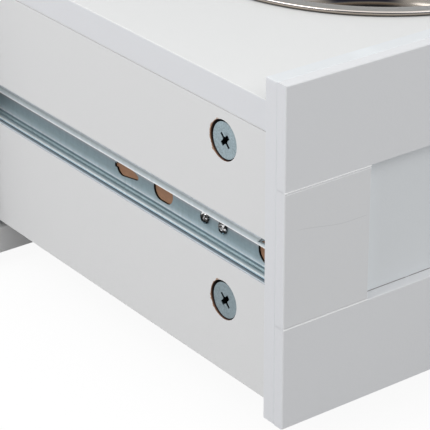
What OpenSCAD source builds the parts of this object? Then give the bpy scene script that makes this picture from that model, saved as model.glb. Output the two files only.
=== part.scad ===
// Elevated dog feeder: a small white cabinet with a storage bin under a lift-up lid, and below it
// a drawer whose top panel carries two steel bowls. The drawer runs on a pair of thin ball slides
// and is drawn pulled out to its stop. Millimetres, +Z up, front of the cabinet towards -Y.

/* [Cabinet] */
// Width over the two side boards
cab_w = 600; // [560:1:680]
// Depth of the side boards, front to back
cab_d = 300; // [297:1:340]
// Height from the floor to the top of the lid
cab_h = 360; // [330:1:420]
// Thickness of the cabinet and drawer boards
board_t = 12; // [11.5:0.5:13]
// Thickness of the back panel
back_t = 5; // [3:0.5:6]
// Height of the floor pads
pad_h = 6; // [4:0.5:12]
// Diameter of the floor pads
pad_d = 26; // [16:1:34]
// Distance of a floor pad's centre from the cabinet's corner faces
pad_in = 26; // [20:1:60]
// Height of the rail that carries the lid hinges
hinge_rail_h = 42; // [30:1:60]
// Rounding of the painted board edges
ease = 0.8; // [0.4:0.1:1.2]

/* [Lid] */
// Thickness of the lid
lid_t = 15; // [12:0.5:18]
// Overhang of the lid at the front
lid_front = 10; // [6:1:20]
// Overhang of the lid past each side
lid_side = 5; // [0:1:12]
// Height of the bumpers under the closed lid
bumper_h = 1.5; // [1.4:0.1:2.5]
// Distance of each lid hinge from the cabinet's middle
hinge_x = 200; // [140:1:230]
// Width of a hinge leaf
hinge_w = 50; // [44:1:70]
// Radius of the hinge knuckles
knuckle_r = 2.7; // [2.5:0.1:3.2]
// Radius of the hinge pins
hinge_pin_r = 1.25; // [1:0.05:1.5]
// Thickness of the hinge leaves
leaf_t = 1.2; // [1:0.1:1.3]

/* [Framed fronts] */
// Height of the drawer front
front_h = 134.4; // [130:0.2:150]
// Gap round the inset drawer front
reveal = 2; // [1.5:0.1:3]
// Thickness of the board behind the frame strips
panel_t = 6.3; // [5.5:0.1:8]
// Thickness of the frame strips
strip_t = 4.9; // [4:0.1:6]
// Width of the upper frame strip
top_strip_w = 39.8; // [30:0.2:42]
// Width of the lower frame strip
low_strip_w = 41; // [38:0.5:44]
// Width of the upright frame strips
stile_w = 39; // [30:0.5:60]
// Bevel on the upper end of the upright strips
stile_bevel = 1; // [0.4:0.1:1.6]
// Hairline under the upright strips
joint_line = 0.3; // [0.2:0.05:0.6]

/* [Drawer box] */
// Length of the drawer sides
side_l = 279; // [265:0.5:281]
// How far the front stands out past each drawer side
front_wing = 4.5; // [4:0.1:6]
// Height of the drawer sides' lower edge above the front's lower edge
side_lift = 3.9; // [2:0.1:6]
// Height of the front above the bowl panel
front_rise = 11.6; // [8:0.2:13]

/* [Ball slides] */
// How far the slides stay behind the drawer front
slide_in = 1; // [0.5:0.5:6]
// How far the cabinet's rails stop short of the back panel
rail_gap = 4.8; // [2:0.1:8]
// Distance from closed to fully pulled out
travel = 205; // [190:1:205]
// Height of the slide's centre line above the front's lower edge
slide_z = 60; // [56:0.5:62]
// Height of the channel in the drawer side
channel_h = 17; // [16:0.1:17.4]
// Depth of the channel, front of its lips to the back of its web
channel_d = 5.5; // [5.3:0.1:5.8]
// Clearance between the groove and the channel, each side
groove_clear = 0.5; // [0.2:0.1:0.8]
// Depth of the channel's lips below the drawer side's face
lip_sink = 0.4; // [0.2:0.1:0.6]
// Thickness of the slide's sheet steel
sheet_t = 0.9; // [0.8:0.05:0.95]
// Diameter of the balls
ball_d = 3; // [2.8:0.05:3.1]
// Running clearance between a ball and its races
race_clear = 0.05; // [0.03:0.01:0.08]
// Distance between balls in a row
ball_pitch = 8; // [6:0.5:10]
// Diameter of the small round screw heads in the channel
small_head_d = 4.8; // [3.6:0.1:5]

/* [Bowls] */
// Outer radius of the bowl's rolled rim
bowl_r = 85.5; // [80:0.5:88]
// Width of the flange round the bowl
bowl_flange = 8; // [6:0.1:12]
// Depth of the bowl below its flange
bowl_depth = 52; // [35:1:60]
// Radius of the bowl's bottom corner
bowl_corner = 18; // [8:1:24]
// Thickness of the bowl's steel
bowl_t = 0.8; // [0.6:0.1:1.2]
// Radius of the rolled rim
roll_r = 1; // [0.9:0.1:2]
// Gap between a bowl's wall and its hole
bowl_gap = 1.3; // [0.8:0.1:2]
// Distance from the front's face to the bowls' centres
bowl_y = 118.6; // [112:0.2:119]
// Distance from the end of the front to a bowl's centre
bowl_in = 142.2; // [130:0.2:146]

/* [Fittings] */
// Diameter of a cam lock
cam_d = 14.2; // [13:0.1:14.8]
// Diameter of the hole for a cam lock
cam_hole_d = 15.8; // [15.4:0.1:16.2]
// Height of a cam lock
cam_l = 9.4; // [9:0.1:9.6]
// Depth of a cam lock's hole
cam_hole_l = 10; // [9.8:0.1:10.5]
// Distance of a drawer cam lock behind the front
cam_y = 29.9; // [24:0.1:34]
// Height of the upper drawer cam lock above the front's lower edge
cam_high = 98.9; // [98:0.1:99.5]
// Height of the lower drawer cam lock above the front's lower edge
cam_low = 34.3; // [33:0.1:35]
// Diameter of the wooden dowels
dowel_d = 6; // [5:0.1:6]
// Length of the wooden dowels
dowel_l = 25; // [20:1:28]
// Diameter of the knob
knob_d = 28; // [22:1:34]
// Length of the knob from its seat
knob_l = 24; // [20:1:30]

/* [Hidden] */
$fn = 48;

// Colours of the finishes
paint = [0.93, 0.93, 0.93];
zinc = [0.66, 0.72, 0.74];
steel = [0.80, 0.80, 0.79];
cage_colour = [0.16, 0.17, 0.18];
rubber = [0.20, 0.20, 0.21];
beech = [0.78, 0.64, 0.44];

// The cabinet, in heights above the floor and distances behind its front plane
inner_w = cab_w - 2 * board_t;
top_z = cab_h - lid_t - bumper_h;
bottom_top = pad_h + board_t;
drawer_z = bottom_top + reveal;
front_t = panel_t + strip_t;
floor_z = drawer_z + front_h + reveal;
back_y = cab_d - back_t;
rail_y = back_y - board_t;
upper_h = top_z - floor_z;

// The drawer, in its own frame: x from the middle, y from the front's face, z from its lower edge
front_w = inner_w - 2 * reveal;
box_w = front_w - 2 * front_wing;
panel_top = front_h - front_rise;
side_top = panel_top - board_t;
side_h = side_top - side_lift;
back_x = box_w - 2 * board_t;
bowl_x = front_w / 2 - bowl_in;

// The hinges: the pin lies just behind the back panel, level with the top of the side boards
hinge_gap = 0.3;
hinge_y = cab_d + knuckle_r + hinge_gap;
hinge_z = top_z;
knuckle_l = (hinge_w - 2 * hinge_gap) / 3;
leaf_in = 16;
leaf_screw_in = 9;
leaf_screws = [-1, 1] * (hinge_w / 2 - leaf_screw_in);
lid_z = top_z + bumper_h;

// The whole part stands with the middle of its box over the origin, with the drawer out
out_front = travel + knob_l - strip_t;
frame_y = (hinge_y + knuckle_r - out_front) / 2;

// The slide's section: u runs from the drawer side's face into the drawer, w up from the centre
ball_r = ball_d / 2;
race_r = ball_r + race_clear;
skin_r = race_r + sheet_t;
race_u = lip_sink + skin_r;
race_w = channel_h / 2 - skin_r;
web_front = lip_sink + channel_d - sheet_t;
corner_r = 0.7;
lip_angle = 26;
race_from = 55;
race_to = 112;
wall_gap = front_wing + reveal;
neck_out = race_w - race_r - 0.6;
cage_gap = 0.34;
plug_t = 0.9;
plug_r = ball_r - 0.25;
plug_gap = 0.3;
slide_y = front_t + slide_in;
channel_l = side_l - slide_in;
rail_l = back_y - rail_gap - slide_y;
cage_l = channel_l - travel - 2 * (plug_t + plug_gap);
cage_front = plug_t + plug_gap;
cage_arm = ball_r * 0.6;
balls = floor((cage_l - ball_pitch) / ball_pitch) + 1;
groove_w = channel_h + 2 * groove_clear;
groove_d = lip_sink + channel_d;

// The holes in the channel's web, from its front end
front_hole_y = 10;
front_hole_r = 4.5;
long_hole_y = [73.7, channel_l - 46];
long_hole_r = 4.3;
long_hole_half = 2;
drop_hole_y = 101.5;
drop_r = 3.6;
drop_tip_l = 11.2;
drop_slot_w = 1.8;
drop_slot_l = 4.8;

// Fasteners
slip = 0.05;
rest_gap = 0.3;
cam_sink = 0.4;
cam_shift = (cam_hole_d - cam_d) / 2 - rest_gap;
bolt_hole_r = 3.6;
bolt_collar_r = 3.3;
bolt_head_t = 2.6;
bolt_head_r = 3;
bolt_neck_r = 2.1;
bolt_thread_r = 2.6;
bolt_bite = 5.6;
screw_r = 1.5;
wood_screw_head_r = 3;
small_screw_r = 1.4;
small_screw_head_r = 2.6;
channel_screw_r = 1.2;
channel_screw_l = board_t - web_front - 0.8;
channel_pan_y = [35.5, 46.5];
flush_in = 16;
flush_pitch = 57;
channel_flush_y = [channel_l - flush_in - flush_pitch, channel_l - flush_in];
rail_screw_l = 10;
rail_screw_head_d = 5.2;
rail_screw_in = 20;
rail_screw_y = [rail_screw_in, rail_l / 2, rail_l - rail_screw_in];
leaf_screw_l = 12;
back_screw_l = 16;
back_screw_in = 68;
bracket_screw_l = 10;
head_h = 1.8;
shelf_cam_in = 52;
shelf_cam_back = 60;
shelf_cam_y = [shelf_cam_in, back_y - shelf_cam_back];
shelf_dowel_in = 80;
shelf_dowel_back = 100;
shelf_dowel_y = [shelf_dowel_in, back_y - shelf_dowel_back];
dowel_bite = 8;
panel_dowel_in = 50;
panel_dowel_back = 75;
panel_dowel_side = 120;
back_dowel_down = 26;
bracket_l = 18;
bracket_w = 14;
bracket_t = 1.5;
bracket_screw_in = 6;
bracket_up = 25;
bracket_down = 40;
bracket_short_l = panel_t + bracket_t - 1;
bracket_z = [floor_z + board_t + bracket_up, top_z - bracket_down];

// Bumpers and pads
pad_lip = 1;
lid_bumper_y = 20;
lid_bumper_r = 4.5;
lid_bumper_foot = 0.6;
drawer_bumper_in = 30;
drawer_bumper_r = 6;
drawer_bumper_foot = 2;
bumper_taper = 1.2;

// The knob and its screw
knob_base_r = 8;
knob_foot = 2;
knob_neck_r = 5.5;
knob_cap_t = 9;
knob_round = 3;
knob_screw_r = 2;
knob_screw_bite = 9;
knob_screw_head_r = 3.6;
knob_screw_head_h = 2;

// Moves from the cabinet's frame to the part's frame
module in_cabinet() {
    translate([0, -frame_y, 0]) children();
}

// Moves from the drawer's frame to the part's frame, with the drawer pulled out
module in_drawer() {
    in_cabinet() translate([0, -travel, drawer_z]) children();
}

// Corner points of a rectangle with rounded corners, each corner an arc of a few chords
function eased_outline(w, h, r, chords = 4) = [
    for (corner = [0:3])
        for (k = [0:chords])
            let (turn = 90 * (corner + k / chords),
                 cx = (corner == 0 || corner == 3) ? w - r : r,
                 cy = corner < 2 ? h - r : r)
                [cx + r * cos(turn), cy + r * sin(turn)]];

// A board whose edges are lightly rounded on all sides, standing on its corner
module board(size, r = ease) {
    intersection() {
        linear_extrude(size.z) polygon(eased_outline(size.x, size.y, r));
        translate([0, size.y, 0]) rotate([90, 0, 0])
            linear_extrude(size.y) polygon(eased_outline(size.x, size.z, r));
        rotate([90, 0, 90])
            linear_extrude(size.x) polygon(eased_outline(size.y, size.z, r));
    }
}

// Repeats its children mirrored to the other side of the cabinet
module both_sides() {
    children();
    mirror([1, 0, 0]) children();
}

// The cam lock: an eccentric disc with a cross recess, its face at z = 0, its bolt towards +x
// It is turned tight, so that it leans on the side of its hole that lies towards the joint
module cam_lock() {
    slot = [6.7, 1.1, 1.4];
    cross = [5.5, 1.9, 2.4];
    pit_r = 1.4;
    throat = 2 * bolt_neck_r + 0.8;
    translate([0, 0, -cam_sink]) difference() {
        translate([cam_shift, 0, -cam_l]) cylinder(r = cam_d / 2, h = cam_l);
        translate([cam_shift, 0, 0]) rotate(45) {
            recess(slot);
            rotate(90) recess(cross);
            recess([cross.y, cross.x / 2, cross.z]);
            translate([0, 0, -cross.z]) cylinder(r = pit_r, h = cross.z + 1);
        }
        translate([0, 0, cam_sink - board_t / 2]) {
            rotate([0, 90, 0]) cylinder(r = throat / 2, h = cam_d);
            translate([-bolt_head_r - 0.8, 0, 0]) rotate([0, 90, 0])
                cylinder(r = bolt_head_r + 0.4, h = 2 * bolt_head_r + 1);
        }
    }
}

// A straight recess of this length, width and depth, centred on the origin and open upwards
module recess(size) {
    translate([-size.x / 2, -size.y / 2, -size.z]) cube([size.x, size.y, size.z + 1]);
}

// The hole for a cam lock, and the hole for its bolt towards +x, as long as the bolt's free length
module cam_hole(free_l) {
    translate([0, 0, -cam_hole_l]) cylinder(r = cam_hole_d / 2, h = cam_hole_l + 1);
    translate([0, 0, -board_t / 2]) rotate([0, 90, 0])
        cylinder(r = bolt_hole_r, h = free_l + 1);
}

// The bolt that a cam lock pulls: head in the cam, collar at the joint, thread in the next board
module cam_bolt(free_l) {
    collar_t = 1.2;
    translate([0, 0, -board_t / 2]) rotate([0, 90, 0]) {
        translate([0, 0, -bolt_head_r / 2]) cylinder(r = bolt_head_r, h = bolt_head_t);
        cylinder(r = bolt_neck_r, h = free_l);
        translate([0, 0, free_l - collar_t]) cylinder(r = bolt_collar_r, h = collar_t);
        translate([0, 0, free_l]) cylinder(r = bolt_thread_r, h = bolt_bite);
    }
}

// The socket for a cam bolt's thread, sunk from z = 0 downwards
module bolt_socket() {
    translate([0, 0, -bolt_bite - 0.2]) cylinder(r = bolt_thread_r + slip, h = bolt_bite + 1);
}

// A wooden dowel along +z with chamfered ends, and the hole that it needs
module dowel(l = dowel_l) {
    tip = 0.8;
    cylinder(r1 = dowel_d / 2 - tip, r2 = dowel_d / 2, h = tip);
    translate([0, 0, tip]) cylinder(r = dowel_d / 2, h = l - 2 * tip);
    translate([0, 0, l - tip]) cylinder(r1 = dowel_d / 2, r2 = dowel_d / 2 - tip, h = tip);
}
module dowel_hole(l) {
    cylinder(r = dowel_d / 2 + slip, h = l);
}

// A countersunk wood screw, its head's face at z = 0 and its point down
module wood_screw(l, head_r = wood_screw_head_r, r = screw_r) {
    cone = head_r - r;
    difference() {
        union() {
            translate([0, 0, -cone]) cylinder(r1 = r, r2 = head_r, h = cone);
            translate([0, 0, 2 * r - l]) cylinder(r = r, h = l - 2 * r - cone);
            translate([0, 0, -l]) cylinder(r1 = 0.2, r2 = r, h = 2 * r);
        }
        for (turn = [0, 90]) rotate(turn) cube([head_r, 0.7, 1.6], center = true);
    }
}

// The pilot hole and the countersink for that screw
module screw_hole(l, head_r = wood_screw_head_r, r = screw_r) {
    cone = head_r - r;
    translate([0, 0, -l - 0.3]) cylinder(r = r + slip, h = l + 0.3 - cone);
    translate([0, 0, -cone]) cylinder(r1 = r + slip, r2 = head_r + slip, h = cone);
    cylinder(r = head_r + slip, h = 1);
}

// Cabinet boards

// Places its children at each cam lock of a horizontal panel whose underside is at z, right side
module at_panel_cams(z) {
    for (y = shelf_cam_y) translate([inner_w / 2 - cam_y, y, z]) rotate([180, 0, 0]) children();
}

// Places its children at the cam lock on the back face of the hinge rail, right side
module at_rail_cam() {
    translate([inner_w / 2 - cam_y, back_y, top_z - hinge_rail_h / 2]) rotate([-90, 0, 0])
        children();
}

// Places its children at each dowel across a side board's inner face, right side, along +x
module at_side_dowels() {
    for (y = shelf_dowel_y, z = [pad_h, floor_z])
        translate([inner_w / 2 - dowel_l + dowel_bite, y, z + board_t / 2]) rotate([0, 90, 0])
            children();
}

// Places its children at each screw of an inner rail, right side, pointing out of the cabinet
module at_rail_screws() {
    for (y = rail_screw_y)
        translate([inner_w / 2 - sheet_t, slide_y + y, drawer_z + slide_z])
            rotate([0, -90, 0]) children();
}

// Places its children at each front bracket's corner, right side
module at_brackets() {
    for (z = bracket_z) translate([inner_w / 2, front_t, z]) children();
}

// Places its children at each bracket's screw into the side board, and at the one into the front
module at_side_bracket_screws() {
    at_brackets() translate([-bracket_t, bracket_l - bracket_screw_in, 0]) rotate([0, -90, 0])
        children();
}
module at_front_bracket_screws() {
    at_brackets() translate([bracket_screw_in - bracket_l, bracket_t, 0]) rotate([-90, 0, 0])
        children();
}

module side_board() {
    difference() {
        translate([inner_w / 2, 0, pad_h]) board([board_t, cab_d, top_z - pad_h]);
        for (z = [pad_h, floor_z]) for (y = shelf_cam_y)
            translate([inner_w / 2, y, z + board_t / 2]) rotate([0, -90, 0]) bolt_socket();
        translate([inner_w / 2, back_y - board_t / 2, top_z - hinge_rail_h / 2])
            rotate([0, -90, 0]) bolt_socket();
        at_side_dowels() dowel_hole(dowel_l + 0.2);
        at_rail_screws() translate([0, 0, -rail_screw_l - 0.2])
            cylinder(r = screw_r + slip, h = rail_screw_l);
        at_side_bracket_screws() screw_hole(bracket_screw_l, small_screw_head_r, small_screw_r);
    }
}
module cabinet_side_right() {
    color(paint) in_cabinet() side_board();
}
module cabinet_side_left() {
    color(paint) in_cabinet() mirror([1, 0, 0]) side_board();
}

module cabinet_bottom() {
    color(paint) in_cabinet() difference() {
        translate([-inner_w / 2, 0, pad_h]) board([inner_w, back_y, board_t]);
        both_sides() {
            at_panel_cams(pad_h) cam_hole(cam_y);
            at_side_dowels() translate([0, 0, -0.2]) dowel_hole(dowel_l);
        }
        at_back_screws() screw_hole(back_screw_l);
    }
}

module storage_floor() {
    color(paint) in_cabinet() difference() {
        translate([-inner_w / 2, front_t, floor_z]) board([inner_w, back_y - front_t, board_t]);
        both_sides() {
            at_panel_cams(floor_z) cam_hole(cam_y);
            at_side_dowels() translate([0, 0, -0.2]) dowel_hole(dowel_l);
        }
        at_back_screws() screw_hole(back_screw_l);
    }
}

// Places its children at the back panel's screws, heads towards +y
module at_back_screws() {
    for (side = [-1, 0, 1], z = [pad_h, floor_z])
        translate([side * (inner_w / 2 - back_screw_in), cab_d, z + board_t / 2])
            rotate([-90, 0, 0]) children();
}
module cabinet_back() {
    color(paint) in_cabinet() difference() {
        translate([-inner_w / 2, back_y, pad_h])
            board([inner_w, back_t, top_z - leaf_t - slip - pad_h], ease / 2);
        at_back_screws() screw_hole(back_screw_l);
    }
}
module back_panel_screws() {
    color(zinc) in_cabinet() at_back_screws() wood_screw(back_screw_l);
}

// Places its children at the two hinges
module at_hinges() {
    both_sides() translate([hinge_x, 0, 0]) children();
}
module hinge_rail() {
    color(paint) in_cabinet() difference() {
        translate([-inner_w / 2, rail_y, top_z - hinge_rail_h])
            board([inner_w, board_t, hinge_rail_h]);
        both_sides() at_rail_cam() cam_hole(cam_y);
        at_hinges() {
            translate([-hinge_w / 2 - slip, cab_d - leaf_in - slip, top_z - leaf_t])
                cube([hinge_w + 2 * slip, leaf_in + 1, leaf_t + 1]);
            at_leaf_screws() screw_hole(leaf_screw_l, small_screw_head_r, small_screw_r);
        }
    }
}

// The upper front, a panel with frame strips on its face

// An applied strip: front edges rounded, back edges with a hairline bevel
module strip(w, h, top_bevel = 0) {
    crack = 0.25;
    translate([0, strip_t, 0]) intersection() {
        rotate([90, 0, 0]) linear_extrude(strip_t) square([w, h]);
        rotate([90, 0, 90]) linear_extrude(w)
            polygon([[0, crack], [-crack, 0], [ease - strip_t, 0], [-strip_t, ease * 0.4],
                     [-strip_t, h - max(top_bevel, ease * 0.4)],
                     [max(top_bevel, ease * 0.4) - strip_t, h], [-crack, h], [0, h - crack]]);
        translate([0, -strip_t, 0]) linear_extrude(h)
            polygon([[0, strip_t], [0, ease / 2], [ease / 4, ease / 8], [ease / 2, 0],
                     [w - ease / 2, 0], [w - ease / 4, ease / 8], [w, ease / 2], [w, strip_t]]);
    }
}

// The stile between two strips that are this far apart
module stile(h) {
    translate([0, 0, joint_line]) strip(stile_w, h - joint_line, stile_bevel);
}

module upper_front_panel() {
    color(paint) in_cabinet() difference() {
        translate([-inner_w / 2, strip_t, floor_z]) board([inner_w, panel_t, upper_h], ease / 2);
        both_sides() at_front_bracket_screws()
            screw_hole(bracket_short_l, small_screw_head_r, small_screw_r);
    }
}
module upper_front_top_strip() {
    color(paint) in_cabinet() translate([-inner_w / 2, 0, top_z - top_strip_w])
        strip(inner_w, top_strip_w);
}
module upper_front_low_strip() {
    color(paint) in_cabinet() translate([-inner_w / 2, 0, floor_z]) strip(inner_w, low_strip_w);
}
module upper_stile() {
    translate([inner_w / 2 - stile_w, 0, floor_z + low_strip_w])
        stile(upper_h - low_strip_w - top_strip_w);
}
module upper_front_stile_right() {
    color(paint) in_cabinet() upper_stile();
}
module upper_front_stile_left() {
    color(paint) in_cabinet() mirror([1, 0, 0]) upper_stile();
}

module front_brackets() {
    color(zinc) in_cabinet() both_sides() difference() {
        at_brackets() translate([0, 0, -bracket_w / 2]) {
            translate([-bracket_t, 0, 0]) cube([bracket_t, bracket_l, bracket_w]);
            translate([-bracket_l, 0, 0]) cube([bracket_l, bracket_t, bracket_w]);
        }
        at_side_bracket_screws() screw_hole(bracket_screw_l, small_screw_head_r, small_screw_r);
        at_front_bracket_screws() screw_hole(bracket_short_l, small_screw_head_r, small_screw_r);
    }
}
module bracket_screws() {
    color(zinc) in_cabinet() both_sides() {
        at_side_bracket_screws() wood_screw(bracket_screw_l, small_screw_head_r, small_screw_r);
        at_front_bracket_screws() wood_screw(bracket_short_l, small_screw_head_r, small_screw_r);
    }
}

module floor_pads() {
    color(rubber) in_cabinet() both_sides() for (y = [pad_in, cab_d - pad_in])
        translate([cab_w / 2 - pad_in, y, 0]) {
            cylinder(r1 = pad_d / 2 - pad_lip, r2 = pad_d / 2, h = pad_lip);
            translate([0, 0, pad_lip]) cylinder(r = pad_d / 2, h = pad_h - pad_lip);
        }
}

module cabinet_cam_locks() {
    color(zinc) in_cabinet() both_sides() {
        at_panel_cams(pad_h) cam_lock();
        at_panel_cams(floor_z) cam_lock();
        at_rail_cam() cam_lock();
    }
}
module cabinet_cam_bolts() {
    color(zinc) in_cabinet() both_sides() {
        at_panel_cams(pad_h) cam_bolt(cam_y);
        at_panel_cams(floor_z) cam_bolt(cam_y);
        at_rail_cam() cam_bolt(cam_y);
    }
}
module cabinet_dowels() {
    color(beech) in_cabinet() both_sides() at_side_dowels() dowel();
}

// A bumper that tapers from its foot to this height
module bumper(r, foot, h) {
    cylinder(r = r, h = foot);
    translate([0, 0, foot]) cylinder(r1 = r, r2 = r - bumper_taper, h = h - foot);
}
module lid_bumpers() {
    color(rubber) in_cabinet() both_sides()
        translate([(cab_w - board_t) / 2, lid_bumper_y, top_z])
            bumper(lid_bumper_r, lid_bumper_foot, bumper_h - rest_gap);
}
module drawer_bumpers() {
    color(rubber) in_cabinet() both_sides()
        translate([back_x / 2 - drawer_bumper_in, back_y, drawer_z + slide_z]) rotate([90, 0, 0])
            bumper(drawer_bumper_r, drawer_bumper_foot, back_y - front_t - side_l - rest_gap);
}

// Lid and hinges

// Places its children at a hinge leaf's screws, heads up at the rail's top
module at_leaf_screws() {
    for (x = leaf_screws) translate([x, back_y - board_t / 2, top_z]) children();
}

// A knuckle of the hinge barrel with the tongue that ties it to its leaf, between two places along x
module knuckle(from, to, z) {
    translate([from, 0, 0]) difference() {
        union() {
            translate([0, hinge_y, hinge_z]) rotate([0, 90, 0]) cylinder(r = knuckle_r, h = to - from);
            translate([0, cab_d - 1, z]) cube([to - from, hinge_y - cab_d + 1, leaf_t]);
        }
        translate([-1, hinge_y, hinge_z]) rotate([0, 90, 0])
            cylinder(r = hinge_pin_r + slip, h = to - from + 2);
    }
}
module hinge_leaf_fixed() {
    half = hinge_w / 2;
    difference() {
        translate([-half, cab_d - leaf_in, top_z - leaf_t]) cube([hinge_w, leaf_in, leaf_t]);
        at_leaf_screws() screw_hole(leaf_screw_l, small_screw_head_r, small_screw_r);
    }
    knuckle(-half, knuckle_l - half, top_z - leaf_t);
    knuckle(half - knuckle_l, half, top_z - leaf_t);
}
module hinge_leaves_fixed() {
    color(steel) in_cabinet() at_hinges() hinge_leaf_fixed();
}
module hinge_leaf_lid() {
    half = hinge_w / 2;
    difference() {
        translate([-half, cab_d - leaf_in, lid_z - leaf_t]) cube([hinge_w, leaf_in, leaf_t]);
        at_lid_screws() screw_hole(leaf_screw_l, small_screw_head_r, small_screw_r);
    }
    knuckle(knuckle_l + hinge_gap - half, half - knuckle_l - hinge_gap, lid_z - leaf_t);
}
module hinge_leaves_lid() {
    color(steel) in_cabinet() at_hinges() hinge_leaf_lid();
}
module hinge_pins() {
    color(steel) in_cabinet() at_hinges() translate([-hinge_w / 2, hinge_y, hinge_z])
        rotate([0, 90, 0]) {
            translate([0, 0, -0.9]) cylinder(r = knuckle_r - 0.5, h = 0.9);
            cylinder(r = hinge_pin_r, h = hinge_w);
            translate([0, 0, hinge_w]) cylinder(r = knuckle_r - 0.5, h = 0.9);
        }
}
module hinge_screws_fixed() {
    color(steel) in_cabinet() at_hinges() at_leaf_screws()
        wood_screw(leaf_screw_l, small_screw_head_r, small_screw_r);
}

// Places its children at the lid leaf's screws, heads down at the leaf's underside
module at_lid_screws() {
    for (x = leaf_screws)
        translate([x, back_y - board_t / 2, lid_z - leaf_t]) rotate([180, 0, 0]) children();
}
module hinge_screws_lid() {
    color(steel) in_cabinet() at_hinges() at_lid_screws()
        wood_screw(leaf_screw_l, small_screw_head_r, small_screw_r);
}
module lid() {
    color(paint) in_cabinet() difference() {
        translate([-cab_w / 2 - lid_side, -lid_front, lid_z])
            board([cab_w + 2 * lid_side, cab_d + lid_front, lid_t], ease * 2);
        at_hinges() at_lid_screws() screw_hole(leaf_screw_l, small_screw_head_r, small_screw_r);
    }
}

// Drawer boards

// Places its children at the drawer's front cam locks, right side, bolt towards the front
module at_front_cams() {
    for (z = [cam_low, cam_high]) translate([box_w / 2, front_t + cam_y, z])
        rotate([0, 90, 0]) rotate(-90) children();
}

// Places its children at the cam locks in the drawer back's inner face, right side
module at_back_cam() {
    translate([back_x / 2 - cam_y, front_t + side_l - board_t, cam_low]) rotate([90, 0, 0])
        children();
}

// Places its children at the dowels under the bowl panel, standing up from the sides and back
module at_panel_dowels() {
    lower = side_top + dowel_bite - dowel_l;
    side_end = front_t + side_l;
    both_sides() {
        for (y = [front_t + panel_dowel_in, side_end - panel_dowel_back])
            translate([(box_w - board_t) / 2, y, lower]) children();
        translate([back_x / 2 - panel_dowel_side, side_end - board_t / 2, lower]) children();
    }
}

// Places its children at the dowel across a drawer side's inner face, right side, along +x
module at_back_dowel() {
    translate([back_x / 2 + dowel_bite - dowel_l, front_t + side_l - board_t / 2,
               side_top - back_dowel_down]) rotate([0, 90, 0]) children();
}

module drawer_front_panel() {
    color(paint) in_drawer() difference() {
        translate([-front_w / 2, strip_t, 0]) board([front_w, panel_t, front_h], ease / 2);
        both_sides() at_front_cams() translate([cam_y, 0, -board_t / 2]) rotate([0, -90, 0])
            bolt_socket();
        translate([0, 0, knob_z()]) rotate([-90, 0, 0])
            cylinder(r = knob_screw_r + 0.2, h = front_t + 1);
    }
}
module drawer_front_top_strip() {
    color(paint) in_drawer() translate([-front_w / 2, 0, front_h - top_strip_w])
        strip(front_w, top_strip_w);
}
module drawer_front_low_strip() {
    color(paint) in_drawer() translate([-front_w / 2, 0, 0]) strip(front_w, low_strip_w);
}
module drawer_stile() {
    translate([front_w / 2 - stile_w, 0, low_strip_w])
        stile(front_h - low_strip_w - top_strip_w);
}
module drawer_front_stile_right() {
    color(paint) in_drawer() drawer_stile();
}
module drawer_front_stile_left() {
    color(paint) in_drawer() mirror([1, 0, 0]) drawer_stile();
}

// A drawer side: the groove for the slide runs its whole length, the cam locks sit near the front
module drawer_side() {
    difference() {
        translate([box_w / 2 - board_t, front_t, side_lift]) board([board_t, side_l, side_h], ease / 2);
        translate([box_w / 2 - groove_d, front_t - 1, slide_z - groove_w / 2])
            cube([groove_d + 1, side_l + 2, groove_w]);
        at_front_cams() cam_hole(cam_y);
        translate([back_x / 2, front_t + side_l - board_t / 2, cam_low]) rotate([0, -90, 0])
            bolt_socket();
        at_back_dowel() dowel_hole(dowel_l + 0.2);
        at_panel_dowels() translate([0, 0, -0.2]) dowel_hole(dowel_l);
        at_channel_screws(channel_pan_y) translate([0, 0, -channel_screw_l - 0.2])
            cylinder(r = channel_screw_r + slip, h = channel_screw_l);
        at_channel_screws(channel_flush_y) channel_flush_hole();
    }
}
module drawer_side_right() {
    color(paint) in_drawer() drawer_side();
}
module drawer_side_left() {
    color(paint) in_drawer() mirror([1, 0, 0]) drawer_side();
}

module drawer_back() {
    color(paint) in_drawer() difference() {
        translate([-back_x / 2, front_t + side_l - board_t, side_lift])
            board([back_x, board_t, side_h], ease / 2);
        both_sides() {
            at_back_cam() cam_hole(cam_y);
            at_back_dowel() translate([0, 0, -0.2]) dowel_hole(dowel_l);
        }
        at_panel_dowels() translate([0, 0, -0.2]) dowel_hole(dowel_l);
    }
}

module bowl_panel() {
    color(paint) in_drawer() difference() {
        translate([-box_w / 2, front_t, side_top]) board([box_w, side_l, board_t], ease / 2);
        both_sides() translate([bowl_x, bowl_y, side_top - 1])
            cylinder(r = bowl_wall_r + bowl_t + bowl_gap, h = board_t + 2, $fn = 120);
        at_panel_dowels() dowel_hole(dowel_l + 0.2);
    }
}

module drawer_cam_locks() {
    color(zinc) in_drawer() both_sides() {
        at_front_cams() cam_lock();
        at_back_cam() cam_lock();
    }
}
module drawer_cam_bolts() {
    color(zinc) in_drawer() both_sides() {
        at_front_cams() cam_bolt(cam_y);
        at_back_cam() cam_bolt(cam_y);
    }
}
module drawer_dowels() {
    color(beech) in_drawer() {
        both_sides() at_back_dowel() dowel();
        at_panel_dowels() dowel();
    }
}

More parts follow.
